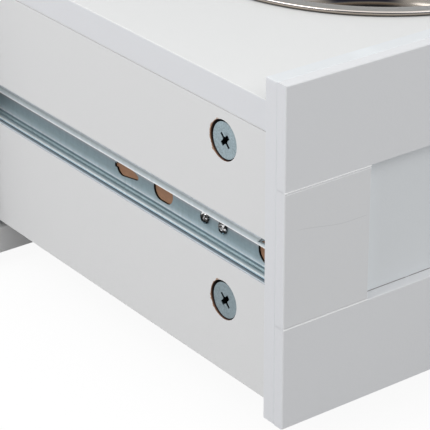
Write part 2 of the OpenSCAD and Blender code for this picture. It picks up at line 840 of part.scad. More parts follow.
// The knob in the middle of the recessed panel, and its screw from behind
function knob_z() = (low_strip_w + front_h - top_strip_w) / 2;
module knob() {
    cap_r = knob_d / 2;
    dome_r = cap_r * 2.2;
    cap_z = knob_l - knob_cap_t;
    hollow_r = knob_base_r - knob_neck_r;
    color(steel) in_drawer() translate([0, strip_t, knob_z()]) rotate([90, 0, 0])
        difference() {
            rotate_extrude($fn = 72) difference() {
                union() {
                    square([knob_base_r, knob_foot]);
                    square([knob_neck_r, knob_l - knob_foot]);
                    translate([0, cap_z]) intersection() {
                        translate([0, knob_cap_t - dome_r]) circle(dome_r, $fn = 160);
                        square([cap_r - 2, knob_cap_t]);
                    }
                    translate([cap_r - knob_round, cap_z + knob_round]) circle(knob_round);
                    translate([0, cap_z]) square([cap_r - knob_round, 2 * knob_round]);
                }
                translate([knob_base_r, knob_foot + hollow_r]) circle(hollow_r);
                translate([-cap_r, -1]) square([cap_r, knob_l + 2]);
            }
            translate([0, 0, -1])
                cylinder(r = knob_screw_r + slip, h = knob_screw_bite + strip_t - 2);
        }
}
module knob_screw() {
    color(zinc) in_drawer() translate([0, front_t, knob_z()]) rotate([90, 0, 0]) {
        cylinder(r = knob_screw_r, h = panel_t + knob_screw_bite);
        translate([0, 0, -knob_screw_head_h]) difference() {
            cylinder(r = knob_screw_head_r, h = knob_screw_head_h);
            for (turn = [0, 90]) rotate(turn) cube([4.4, 0.8, 2], center = true);
        }
    }
}

// Ball slides. Sections are drawn as u into the drawer and w up, and run back along the drawer

// Carries a section back along the right-hand slide, u = 0 on the drawer side's face
module along_slide(l) {
    translate([box_w / 2, 0, slide_z]) rotate([90, 0, 180]) linear_extrude(l) children();
}

// Places its children at the centre line of the channel's web, +z into the cabinet's gap
module at_channel_screws(places) {
    for (y = places) translate([box_w / 2 - web_front, slide_y + y, slide_z]) rotate([0, 90, 0])
        children();
}

// The hole for one of the channel's countersunk screws
module channel_flush_hole() {
    screw_hole(channel_screw_l, small_screw_head_r, channel_screw_r);
}

// Repeats a section above and below the slide's centre line
module above_and_below() {
    children();
    mirror([0, 1]) children();
}

// The channel: a flat web, rounded corners, and lips that curl round the balls
module channel_section() {
    back_u = lip_sink + channel_d;
    out_r = corner_r + sheet_t;
    reach = 4;
    mouth = [reach * cos(lip_angle), reach * sin(lip_angle)];
    difference() {
        union() {
            above_and_below() {
                translate([race_u, race_w]) circle(skin_r);
                translate([back_u - out_r, channel_h / 2 - out_r]) circle(out_r);
            }
            translate([race_u, -channel_h / 2]) square([back_u - out_r - race_u, channel_h]);
            translate([race_u, out_r - channel_h / 2])
                square([back_u - race_u, channel_h - 2 * out_r]);
        }
        above_and_below() {
            translate([race_u, race_w]) circle(race_r);
            translate([web_front - corner_r, channel_h / 2 - out_r]) circle(corner_r);
        }
        translate([race_u, sheet_t - channel_h / 2])
            square([web_front - corner_r - race_u, channel_h - 2 * sheet_t]);
        translate([race_u, out_r - channel_h / 2])
            square([web_front - race_u, channel_h - 2 * out_r]);
        polygon([[race_u, race_w], [race_u - mouth.x, race_w - mouth.y],
                 [race_u - mouth.x, mouth.y - race_w], [race_u, -race_w]]);
    }
}

// The pinched race end that keeps the ball cage in: towards = 1 upwards, -1 downwards
module race_plug_section(towards) {
    above_and_below() translate([race_u, race_w]) {
        circle(plug_r);
        translate([-0.6, towards > 0 ? 0 : -race_r - 0.3]) square([1.2, race_r + 0.3]);
    }
}

// The drop-shaped hole of the web: round at the back with a slot, drawn out to a tip at the front
module drop_hole() {
    tip_w = drop_r / 3;
    circle(drop_r);
    polygon([[-drop_r, -drop_r * 0.1], [-tip_w / 2, 1 - drop_tip_l], [0, -drop_tip_l],
             [tip_w, -drop_tip_l], [tip_w * 1.6, 1 - drop_tip_l], [drop_r, -drop_r * 0.1]]);
    translate([-drop_slot_w / 3, 0]) square([drop_slot_w, drop_slot_l]);
}

module slide_channel() {
    in_drawer() difference() {
        union() {
            translate([0, slide_y, 0]) along_slide(channel_l) channel_section();
            translate([0, slide_y + channel_l - plug_t, 0]) along_slide(plug_t)
                race_plug_section(1);
        }
        // Screw holes, then the larger holes of the web, then the cut-back lip at the front end
        at_channel_screws(channel_pan_y)
            cylinder(r = channel_screw_r + slip, h = 4, center = true);
        at_channel_screws(channel_flush_y) channel_flush_hole();
        at_channel_screws([front_hole_y]) cylinder(r = front_hole_r, h = 4, center = true);
        for (y = long_hole_y) {
            at_channel_screws([y - long_hole_half, y + long_hole_half])
                cylinder(r = long_hole_r, h = 4, center = true);
            at_channel_screws([y]) cube([2 * long_hole_r, 2 * long_hole_half, 4], center = true);
        }
        at_channel_screws([drop_hole_y]) linear_extrude(4, center = true) drop_hole();
        translate([box_w / 2 - race_u, slide_y, slide_z]) rotate([90, 0, 90])
            linear_extrude(race_u + 1)
                polygon([[-1, 9], [-1, 7.4], [9, 6.3], [7, 9]]);
    }
}
module slide_channel_right() {
    color(zinc) slide_channel();
}
module slide_channel_left() {
    color(zinc) mirror([1, 0, 0]) slide_channel();
}

// A small round-headed screw, its head's seat at z = 0, point down
module pan_screw(head_d, r, l) {
    difference() {
        union() {
            intersection() {
                cylinder(r = head_d / 2, h = head_h);
                translate([0, 0, head_h - head_d * 0.7]) sphere(head_d * 0.7);
            }
            translate([0, 0, 1.5 * r - l]) cylinder(r = r, h = l - 1.5 * r);
            translate([0, 0, -l]) cylinder(r1 = 0.2, r2 = r, h = 1.5 * r);
        }
        for (turn = [30, 120]) rotate(turn) translate([0, 0, head_h])
            cube([head_d * 0.7, 0.8, 1.6], center = true);
    }
}
module channel_screws() {
    color(zinc) in_drawer() both_sides() {
        at_channel_screws(channel_pan_y)
            pan_screw(small_head_d, channel_screw_r, channel_screw_l);
        at_channel_screws(channel_flush_y)
            wood_screw(channel_screw_l, small_screw_head_r, channel_screw_r);
    }
}

// The inner rail: a flat-backed hat whose two brims are the lower races
module inner_rail_section() {
    wall_u = -wall_gap;
    translate([wall_u, -neck_out]) square([sheet_t, 2 * neck_out]);
    above_and_below() {
        translate([wall_u, neck_out - sheet_t]) square([race_u - 0.3 - wall_u, sheet_t]);
        translate([race_u, race_w]) intersection() {
            difference() {
                circle(skin_r);
                circle(race_r);
            }
            polygon([[0, 0], for (a = [race_from, (race_from + race_to) / 2, race_to])
                                 [-4 * cos(a), -4 * sin(a)]]);
        }
    }
}
module inner_rail() {
    in_cabinet() difference() {
        translate([0, slide_y, drawer_z]) {
            along_slide(rail_l) inner_rail_section();
            along_slide(plug_t) race_plug_section(-1);
        }
        at_rail_screws() cylinder(r = screw_r + slip, h = 3, center = true);
    }
}
module inner_rail_right() {
    color(zinc) inner_rail();
}
module inner_rail_left() {
    color(zinc) mirror([1, 0, 0]) inner_rail();
}
module inner_rail_screws() {
    color(zinc) in_cabinet() both_sides() at_rail_screws()
        pan_screw(rail_screw_head_d, screw_r, rail_screw_l);
}

// The ball cage: a flat strip with an arm along each race, cut away round each ball
cage_u = race_u - skin_r * cos(race_to) + cage_gap;
cage_end_u = web_front - cage_gap;
ball_from = cage_front + (cage_l - (balls - 1) * ball_pitch) / 2;
module cage_section() {
    translate([cage_u, -race_w - cage_arm])
        square([cage_end_u - cage_u, 2 * (race_w + cage_arm)]);
    above_and_below() translate([race_u - cage_arm, race_w - cage_arm])
        square([cage_end_u - race_u + cage_arm, 2 * cage_arm]);
}

// Places its children at each ball of the right-hand slide
module at_balls() {
    for (k = [0:balls - 1], side = [-1, 1])
        translate([box_w / 2 - race_u, slide_y + ball_from + k * ball_pitch,
                   drawer_z + slide_z + side * race_w]) children();
}
module ball_cage() {
    pocket_r = ball_r + 0.1;
    in_cabinet() difference() {
        translate([0, slide_y + cage_front, drawer_z]) along_slide(cage_l) cage_section();
        at_balls() rotate([0, 90, 0]) cylinder(r = pocket_r, h = 8, center = true);
    }
}
module ball_cage_right() {
    color(cage_colour) ball_cage();
}
module ball_cage_left() {
    color(cage_colour) mirror([1, 0, 0]) ball_cage();
}
module cage_balls_right() {
    color(steel) in_cabinet() at_balls() sphere(ball_r, $fn = 24);
}
module cage_balls_left() {
    color(steel) in_cabinet() mirror([1, 0, 0]) at_balls() sphere(ball_r, $fn = 24);
}

// Bowls: the rim is rolled in tight, so that its bead is solid
rim_lift = 0.2;
rim_top = rim_lift + 2 * roll_r;
rim_bend = 3;
bowl_wall_r = bowl_r - bowl_flange;
bowl_floor = rim_top - bowl_depth;

// A quarter of a bent sheet: inner radius r, thickness t, in the quadrant with these signs
module bent_sheet(r, t, sx, sy) {
    intersection() {
        difference() {
            circle(r + t);
            circle(r);
        }
        translate([sx < 0 ? -r - t : 0, sy < 0 ? -r - t : 0]) square(r + t);
    }
}
module bowl_section() {
    roll = [bowl_r - roll_r, rim_lift + roll_r];
    bend_x = bowl_wall_r + rim_bend;
    translate([0, bowl_floor - bowl_t]) square([bowl_wall_r - bowl_corner, bowl_t]);
    translate([bowl_wall_r - bowl_corner, bowl_floor + bowl_corner])
        bent_sheet(bowl_corner, bowl_t, 1, -1);
    translate([bowl_wall_r, bowl_floor + bowl_corner])
        square([bowl_t, rim_top - rim_bend - bowl_floor - bowl_corner]);
    translate([bend_x, rim_top - rim_bend]) bent_sheet(rim_bend - bowl_t, bowl_t, -1, 1);
    translate([bend_x, rim_top - bowl_t]) square([roll.x - bend_x, bowl_t]);
    translate(roll) circle(roll_r);
}
module bowl() {
    in_drawer() translate([bowl_x, bowl_y, panel_top])
        rotate_extrude($fn = 160) bowl_section();
}
module bowl_right() {
    color(steel) bowl();
}
module bowl_left() {
    color(steel) mirror([1, 0, 0]) bowl();
}

cabinet_side_left();
cabinet_side_right();
cabinet_bottom();
storage_floor();
cabinet_back();
hinge_rail();
upper_front_panel();
upper_front_top_strip();
upper_front_low_strip();
upper_front_stile_left();
upper_front_stile_right();
front_brackets();
bracket_screws();
floor_pads();
cabinet_cam_locks();
cabinet_cam_bolts();
cabinet_dowels();
back_panel_screws();
lid_bumpers();
drawer_bumpers();
hinge_leaves_fixed();
hinge_pins();
hinge_screws_fixed();
inner_rail_left();
inner_rail_right();
inner_rail_screws();
lid();
hinge_leaves_lid();
hinge_screws_lid();
drawer_front_panel();
drawer_front_top_strip();
drawer_front_low_strip();
drawer_front_stile_left();
drawer_front_stile_right();
drawer_side_left();
drawer_side_right();
drawer_back();
bowl_panel();
drawer_cam_locks();
drawer_cam_bolts();
drawer_dowels();
knob();
knob_screw();
slide_channel_left();
slide_channel_right();
channel_screws();
ball_cage_left();
ball_cage_right();
cage_balls_left();
cage_balls_right();
bowl_left();
bowl_right();
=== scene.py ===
import logging
import math
from dataclasses import dataclass
from enum import Enum

import bpy
from mathutils import Matrix, Vector


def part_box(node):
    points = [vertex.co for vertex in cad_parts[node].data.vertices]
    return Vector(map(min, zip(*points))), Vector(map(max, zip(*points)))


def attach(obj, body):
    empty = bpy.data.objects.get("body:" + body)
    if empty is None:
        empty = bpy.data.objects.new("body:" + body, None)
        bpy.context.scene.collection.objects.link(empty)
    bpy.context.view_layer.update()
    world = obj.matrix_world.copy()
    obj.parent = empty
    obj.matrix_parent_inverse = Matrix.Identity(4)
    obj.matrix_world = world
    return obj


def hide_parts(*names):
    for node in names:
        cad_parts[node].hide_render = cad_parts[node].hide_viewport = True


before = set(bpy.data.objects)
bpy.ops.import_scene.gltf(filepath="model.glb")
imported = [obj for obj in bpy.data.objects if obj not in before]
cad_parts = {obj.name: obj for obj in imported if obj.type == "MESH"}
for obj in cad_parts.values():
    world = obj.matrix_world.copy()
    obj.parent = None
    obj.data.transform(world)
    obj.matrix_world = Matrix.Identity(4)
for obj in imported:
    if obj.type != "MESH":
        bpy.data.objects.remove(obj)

LOG = logging.getLogger("feeder")
MM = 0.001
TO_MM = 1000.0
# A limit on |x| beyond every board
ANYWHERE = 9.9
# How far inside a board's end face its end colour starts
END_SKIN = 0.05 * MM
# The slides' middle above the drawer front's foot
SLIDE_Z = 60.0 * MM

Colour = tuple[float, float, float]
Span = tuple[float, float]


# Shader building


class Value:
    """A number that a shader works out, which can be used in arithmetic."""

    def __init__(self, nodes: "Nodes", socket: bpy.types.NodeSocket) -> None:
        """Wraps a socket.

        Args:
            nodes: The node tree that holds the socket's node.
            socket: An output that gives a number.
        """
        self.nodes = nodes
        self.socket = socket

    def math(self, operation: str, *others: "Value | float", first: bool = True) -> "Value":
        """Adds one Math node.

        Args:
            operation: The Math node's operation.
            others: The other operands.
            first: Whether this value comes before the others.

        Returns:
            The node's result.
        """
        operands = [self, *others] if first else [*others, self]
        node = self.nodes.node("Math", {"operation": operation}, *operands)
        return Value(self.nodes, node.outputs[0])

    def __add__(self, other: "Value | float") -> "Value":
        """The sum."""
        return self.math("ADD", other)

    __radd__ = __add__

    def __sub__(self, other: "Value | float") -> "Value":
        """The difference."""
        return self.math("SUBTRACT", other)

    def __rsub__(self, other: float) -> "Value":
        """The difference from a number."""
        return self.math("SUBTRACT", other, first=False)

    def __mul__(self, other: "Value | float") -> "Value":
        """The product."""
        return self.math("MULTIPLY", other)

    __rmul__ = __mul__

    def __truediv__(self, other: "Value | float") -> "Value":
        """The quotient."""
        return self.math("DIVIDE", other)

    def __pow__(self, power: float) -> "Value":
        """The power."""
        return self.math("POWER", power)

    def __abs__(self) -> "Value":
        """The size without its sign."""
        return self.math("ABSOLUTE")

    def rise(self, low: float, high: float) -> "Value":
        """A smooth step from 0 at low to 1 at high, or down again where low is the larger.

        Args:
            low: Where the step starts.
            high: Where it ends.

        Returns:
            A mask from 0 to 1.
        """
        flip = low > high
        settings = {"interpolation_type": "SMOOTHSTEP"}
        node = self.nodes.node("MapRange", settings, self, min(low, high), max(low, high),
                               float(flip), float(not flip))
        return Value(self.nodes, node.outputs[0])

    def least(self, other: "Value | float") -> "Value":
        """The smaller of two."""
        return self.math("MINIMUM", other)

    def most(self, other: "Value | float") -> "Value":
        """The larger of two."""
        return self.math("MAXIMUM", other)


class Nodes:
    """A node tree under construction."""

    def __init__(self, tree: bpy.types.NodeTree) -> None:
        """Starts with an empty tree.

        Args:
            tree: The tree of a material or a world.
        """
        self.tree = tree
        tree.nodes.clear()

    def node(self, kind: str, settings: dict[str, object], *inputs: object,
             **named: object) -> bpy.types.Node:
        """Adds any node.

        Args:
            kind: The node's type, without its prefix.
            settings: Its settings, made first.
            inputs: Values or links of its sockets, in their order; None leaves one alone.
            named: Values or links of its sockets, by name with underscores for spaces.

        Returns:
            The node.
        """
        node = self.tree.nodes.new("ShaderNode" + kind)
        for key, value in settings.items():
            setattr(node, key, value)
        pairs = [(node.inputs[i], v) for i, v in enumerate(inputs) if v is not None]
        pairs += [(node.inputs[key.replace("_", " ")], v) for key, v in named.items()]
        for socket, value in pairs:
            self.feed(socket, value)
        return node

    def feed(self, socket: bpy.types.NodeSocket, value: object) -> None:
        """Sets a socket to a number, a colour, a vector, a value or a link.

        Args:
            socket: The input to set.
            value: What it gets.
        """
        if isinstance(value, Value):
            self.tree.links.new(value.socket, socket)
        elif isinstance(value, bpy.types.NodeSocket):
            self.tree.links.new(value, socket)
        elif socket.type == "RGBA":
            socket.default_value = (*value, 1.0)
        else:
            socket.default_value = value

    def seen(self, *rays: str) -> Value:
        """Whether a surface is met by a ray of one of some kinds.

        Args:
            rays: The kinds, as the Light Path node names them, at least one.

        Returns:
            1 for such a ray, 0 for any other.
        """
        path = self.node("LightPath", {})
        found, *others = (Value(self, path.outputs[f"Is {ray} Ray"]) for ray in rays)
        for other in others:
            found = found.most(other)
        return found


# Sockets of a Mix node that is set to colours
MIX_FACTOR, MIX_FIRST, MIX_SECOND, MIX_RESULT = 0, 6, 7, 2


class Shader(Nodes):
    """A material under construction, with its Principled shader and object coordinates."""

    def __init__(self, name: str) -> None:
        """Starts a material.

        Args:
            name: The material's name.
        """
        self.material = bpy.data.materials.new(name)
        self.material.use_nodes = True
        super().__init__(self.material.node_tree)
        self.output = self.node("OutputMaterial", {})
        self.surface = self.node("BsdfPrincipled", {})
        self.feed(self.output.inputs["Surface"], self.surface.outputs[0])
        self.place = self.node("TexCoord", {}).outputs["Object"]
        split = self.node("SeparateXYZ", {}, self.place)
        self.x, self.y, self.z = (Value(self, socket) for socket in split.outputs)

    def noise(self, scale: float, detail: float = 2.0, rough: float = 0.5,
              stretch: Colour = (1.0, 1.0, 1.0), warp: float = 0.0) -> Value:
        """A noise pattern on object coordinates.

        Args:
            scale: Cells per metre.
            detail: Octaves.
            rough: Strength of the finer octaves.
            stretch: Scale along each axis.
            warp: Distortion.

        Returns:
            A value around 0.5.
        """
        mapping = self.node("Mapping", {}, self.place, None, None, stretch)
        noise = self.node("TexNoise", {}, Vector=mapping.outputs[0], Scale=scale, Detail=detail,
                          Roughness=rough, Distortion=warp)
        return Value(self, noise.outputs[0])

    def cells(self, scale: float, stretch: Colour = (1.0, 1.0, 1.0)) -> Value:
        """A different flat value in each small cell.

        Args:
            scale: Cells per metre.
            stretch: Scale along each axis.

        Returns:
            A value from 0 to 1.
        """
        mapping = self.node("Mapping", {}, self.place, None, None, stretch)
        voronoi = self.node("TexVoronoi", {}, Vector=mapping.outputs[0], Scale=scale)
        split = self.node("SeparateColor", {}, voronoi.outputs["Color"])
        return Value(self, split.outputs[0])

    def mix(self, mask: Value, first: object, second: object) -> bpy.types.NodeSocket:
        """Mixes two colours.

        Args:
            mask: 0 gives the first, 1 the second.
            first: A colour or a link.
            second: A colour or a link.

        Returns:
            The mixed colour.
        """
        node = self.node("Mix", {"data_type": "RGBA"})
        for index, value in ((MIX_FACTOR, mask), (MIX_FIRST, first), (MIX_SECOND, second)):
            self.feed(node.inputs[index], value)
        return node.outputs[MIX_RESULT]

    def ramp(self, factor: Value, stops: "Stops") -> bpy.types.NodeSocket:
        """A colour that follows a value through a row of stops.

        Args:
            factor: The value.
            stops: Places on the value's scale with their colours, in rising order.

        Returns:
            The colour.
        """
        low, high = stops[0][0], stops[-1][0]
        span = self.node("MapRange", {}, factor, low, high, 0.0, 1.0)
        node = self.node("ValToRGB", {}, span.outputs[0])
        elements = node.color_ramp.elements
        elements[0].color, elements[-1].color = (*stops[0][1], 1.0), (*stops[-1][1], 1.0)
        for place, colour in stops[1:-1]:
            elements.new((place - low) / (high - low)).color = (*colour, 1.0)
        return node.outputs[0]

    def tint(self, colour: object, gain: Value) -> bpy.types.NodeSocket:
        """Multiplies a colour by a value.

        Args:
            colour: A colour or a link.
            gain: The factor.

        Returns:
            The new colour.
        """
        node = self.node("VectorMath", {"operation": "SCALE"}, colour)
        self.feed(node.inputs["Scale"], gain)
        return node.outputs[0]

    def dress(self, height: Value | None = None, depth: float = 0.0, **sockets: object) -> None:
        """Sets the Principled shader's sockets and its bump.

        Args:
            height: The relief, from 0 to 1.
            depth: The relief's height in metres.
            sockets: Values or links by socket name with underscores for spaces.
        """
        for key, value in sockets.items():
            self.feed(self.surface.inputs[key.replace("_", " ")], value)
        if height is not None:
            bump = self.node("Bump", {}, Distance=depth, Height=height)
            self.feed(self.surface.inputs["Normal"], bump.outputs[0])


# Finishes


Stops = tuple[tuple[float, Colour], ...]


def shown(red: int, green: int, blue: int) -> Colour:
    """Turns a colour as a screen shows it into the linear values that shaders use.

    Args:
        red: Red, 0 to 255.
        green: Green, 0 to 255.
        blue: Blue, 0 to 255.

    Returns:
        The linear colour.
    """
    return tuple(((c / 255 + 0.055) / 1.055) ** 2.4 for c in (red, green, blue))


@dataclass(frozen=True)
class Finish:
    """A finish, which makes a material of its own name."""

    name: str

    def material(self) -> bpy.types.Material:
        """Builds the finish.

        Returns:
            The material.
        """
        shader = Shader(self.name)
        self.shade(shader)
        return shader.material

    def shade(self, s: Shader) -> None:
        """Sets the shader; each finish has its own way.

        Args:
            s: The shader.
        """
        raise NotImplementedError


@dataclass(frozen=True)
class RoundCut:
    """A round hole through a lacquered side face: bare board inside with painted shade deeper
    in, chipped along its rear edge.
    """

    y: float
    z: float
    radius: float
    # Colours by depth in mm: bare board near the face, darkening deeper in as painted shade on
    # the hole's wall
    shades: Stops = ((0.05, shown(160, 122, 96)), (0.35, shown(120, 84, 64)),
                     (0.75, shown(52, 38, 32)), (2.0, shown(40, 30, 26)))

    def run(self, shader: Shader) -> Value:
        """The distance from the hole's axis.

        Args:
            shader: The shader that gets it.

        Returns:
            The distance in metres.
        """
        return ((shader.y - self.y) ** 2 + (shader.z - self.z) ** 2) ** 0.5

    def mask(self, shader: Shader) -> Value:
        """Where the cut is, seen along x.

        Args:
            shader: The shader that gets the mask.

        Returns:
            1 inside the cut.
        """
        return self.run(shader).rise(self.radius * 1.02, self.radius)

    def chips(self, shader: Shader, grain: Value) -> Value:
        """Where the lacquer has broken away beside the hole.

        Args:
            shader: The shader that gets the mask.
            grain: A noise that breaks the edge.

        Returns:
            1 where the board shows.
        """
        width = (grain - 0.42).most(0.0) * 2.8 * MM
        lost = (self.run(shader) - self.radius - width).rise(0.12 * MM, 0.0)
        return lost * (shader.y - self.y).rise(0.2 * self.radius, 0.55 * self.radius)


@dataclass(frozen=True)
class GrooveCut:
    """A groove along y in a lacquered face, its walls lacquered near the face, then painted
    shade, and bare below.
    """

    z: float
    half: float
    # Colours by depth in mm: a dark brown-grey line at the edge, lacquer, painted shade of the
    # slide from 1.15 to 4.6 mm, and bare board at the bottom
    shades: Stops = ((0.12, shown(112, 104, 100)), (0.38, shown(228, 229, 231)),
                     (0.85, shown(222, 224, 227)), (1.15, shown(120, 131, 137)),
                     (4.60, shown(120, 131, 137)), (5.20, shown(176, 133, 104)))

    def mask(self, shader: Shader) -> Value:
        """Where the cut is, seen along x.

        Args:
            shader: The shader that gets the mask.

        Returns:
            1 inside the cut.
        """
        return abs(shader.z - self.z).rise(self.half + 0.05 * MM, self.half - 0.02 * MM)


@dataclass(frozen=True)
class Line:
    """A thin line across a lacquered face, such as a seam, a painted highlight along an edge, a
    painted glow, or a dirty joint.
    """

    axis: str
    place: float
    half: float
    colour: Colour
    strength: float = 1.0
    soft: float = 0.35
    broken: float = 0.0
    within: float = ANYWHERE

    def lay(self, shader: Shader, colour: object) -> bpy.types.NodeSocket:
        """Lays the line over a colour.

        Args:
            shader: The shader that gets the line.
            colour: The colour under it.

        Returns:
            The colour with the line.
        """
        run = abs(getattr(shader, self.axis) - self.place)
        mask = run.rise(self.half * (1.0 + self.soft), self.half * (1.0 - self.soft))
        mask = mask * self.strength * abs(shader.x).rise(self.within, self.within - 0.1 * MM)
        if self.broken:
            dirt = shader.noise(150.0, 3.0, 0.65)
            mask = mask * dirt.rise(self.broken - 0.06, self.broken + 0.06)
        return shader.mix(mask, colour, self.colour)


@dataclass(frozen=True)
class HairCrack:
    """A hair-thin wavy crack in the lacquer, from one x to another."""

    start: float
    end: float
    z: float
    drop: float
    half: float = 0.16 * MM

    def lay(self, shader: Shader, colour: object) -> bpy.types.NodeSocket:
        """Lays the crack over a colour.

        Args:
            shader: The shader that gets the crack.
            colour: The colour under it.

        Returns:
            The colour with the crack.
        """
        share = (shader.x - self.start) / (self.end - self.start)
        height = shader.z - self.z + share.rise(0.0, 0.75) * self.drop
        mask = abs(height).rise(self.half * 1.6, self.half * 0.4)
        ends = share.rise(0.0, 0.2) * share.rise(1.0, 0.95)
        return shader.mix(mask * ends * 0.11, colour, shown(120, 122, 126))


@dataclass(frozen=True)
class Lacquer(Finish):
    """White satin lacquer on fibreboard, with the bare board and painted shade inside its cuts.
    """

    tint: Colour = (0.800, 0.803, 0.808)
    end_tint: Colour = (0.795, 0.806, 0.836)
    end: float = 0.0
    cuts: tuple[RoundCut | GrooveCut, ...] = ()
    face: float = 0.0
    inward: float = 1.0
    lines: tuple[Line | HairCrack, ...] = ()
    skin: Span = (0.04 * MM, 0.10 * MM)
    relief: float = 0.05 * MM

    def shade(self, s: Shader) -> None:
        """Sets the shader.

        Args:
            s: The shader.
        """
        cloud = s.noise(7.0, 3.0, 0.55)
        peel = s.noise(1100.0, 2.0, 0.5)
        wave = s.noise(70.0, 2.0, 0.5)
        grit = s.noise(2600.0, 1.0, 0.5)
        gain = 0.985 + cloud * 0.03 + grit * 0.008 - wave * 0.006
        base = self.tint
        if self.end:
            base = s.mix(abs(s.x).rise(self.end - 0.02 * MM, self.end + 0.02 * MM), self.tint,
                         self.end_tint)
        colour = s.tint(base, gain)
        rough = 0.40 + cloud * 0.08 + grit * 0.05
        height = peel * 0.7 + wave * 0.3
        for line in self.lines:
            colour = line.lay(s, colour)
        if self.cuts:
            depth = (s.x - self.face) * self.inward
            fibre = s.noise(900.0, 4.0, 0.7, (1.0, 0.35, 1.0))
            bare = 0.70 + fibre * 0.60
            for cut in self.cuts:
                mask = depth.rise(*self.skin) * cut.mask(s)
                # Each cut's colour by depth: bare board, and painted shade deeper in
                inside = s.ramp(depth * TO_MM, cut.shades)
                colour = s.mix(mask, colour, s.tint(inside, bare))
                rough = rough + mask * 0.35
                if isinstance(cut, RoundCut):
                    chips = cut.chips(s, s.noise(420.0, 3.0, 0.7)) * (1.0 - mask)
                    colour = s.mix(chips, colour, shown(176, 143, 117))
        s.dress(height, self.relief, Base_Color=colour, Roughness=rough.least(0.95),
                IOR=1.48)


@dataclass(frozen=True)
class BarePlate(Finish):
    """Zinc plate as it leaves the bath, grey blue and grainy; painted shade makes its recesses
    near black.
    """

    tint: Colour = (0.325, 0.405, 0.440)
    speck: float = 2300.0
    roughness: float = 0.42
    face: float = 0.0
    low: float = 0.0
    high: float = 0.0
    recess: Span = (0.55 * MM, 0.95 * MM)
    pit: Span = (1.60 * MM, 2.60 * MM)
    relief: float = 0.045 * MM

    def shade(self, s: Shader) -> None:
        """Sets the shader.

        Args:
            s: The shader.
        """
        speck = s.cells(self.speck)
        cloud = s.noise(420.0, 3.0, 0.6)
        pits = s.noise(3200.0, 2.0, 0.6)
        gain = 0.66 + speck * 0.42 + cloud * 0.26
        # Painted shade: darker towards the bottom, from high down to low
        if self.high:
            gain = gain * (0.74 + s.z.rise(self.low, self.high) * 0.26)
        colour = s.tint(self.tint, gain)
        if self.face:
            depth = self.face - abs(s.x)
            # Painted shade in the recesses: dark past the first depth span, near black past the
            # second
            colour = s.mix(depth.rise(*self.recess), colour, shown(34, 40, 42))
            colour = s.mix(depth.rise(*self.pit), colour, shown(10, 9, 8))
        rough = self.roughness + speck * 0.14 - cloud * 0.08
        s.dress(pits * 0.6 + speck * 0.4, self.relief, Base_Color=colour, Roughness=rough,
                Metallic=1.0)


@dataclass(frozen=True)
class BrightPlate(Finish):
    """Bright plate on small curved heads, with dark and light stripes painted in as reflections.
    """

    dark: Colour = (0.030, 0.029, 0.028)
    light: Colour = (0.88, 0.89, 0.90)
    roughness: float = 0.14
    relief: float = 0.01 * MM

    def shade(self, s: Shader) -> None:
        """Sets the shader.

        Args:
            s: The shader.
        """
        # Painted reflection: dark and light stripes in the base colour
        reflection_stripe = s.noise(620.0, 2.0, 0.6, (1.0, 1.0, 1.5), 1.2).rise(0.49, 0.62)
        scratch = s.noise(1800.0, 2.0, 0.6, (1.0, 0.4, 1.0))
        colour = s.mix(reflection_stripe * (0.55 + scratch * 0.8).least(1.0), self.dark, self.light)
        rough = self.roughness + scratch * 0.14
        s.dress(scratch, self.relief, Base_Color=colour, Roughness=rough, Metallic=1.0)


@dataclass(frozen=True)
class DrawnSheet(Finish):
    """Rolled and zinc plated sheet steel, with fine lines along the rolling."""

    tint: Colour = (0.46, 0.545, 0.58)
    dark: Colour = (0.27, 0.35, 0.40)
    relief: float = 0.02 * MM

    def shade(self, s: Shader) -> None:
        """Sets the shader.

        Args:
            s: The shader.
        """
        line = s.noise(1.0, 3.0, 0.6, (2600.0, 14.0, 2600.0))
        band = s.noise(1.0, 2.0, 0.5, (420.0, 3.0, 420.0))
        spangle = s.noise(260.0, 3.0, 0.6)
        colour = s.mix((line * 0.45 + spangle * 0.35 + band * 0.20).rise(0.25, 0.75), self.dark,
                       self.tint)
        rough = 0.30 + line * 0.12 + spangle * 0.10
        s.dress(line * 0.7 + spangle * 0.3, self.relief, Base_Color=colour, Roughness=rough,
                Metallic=1.0)


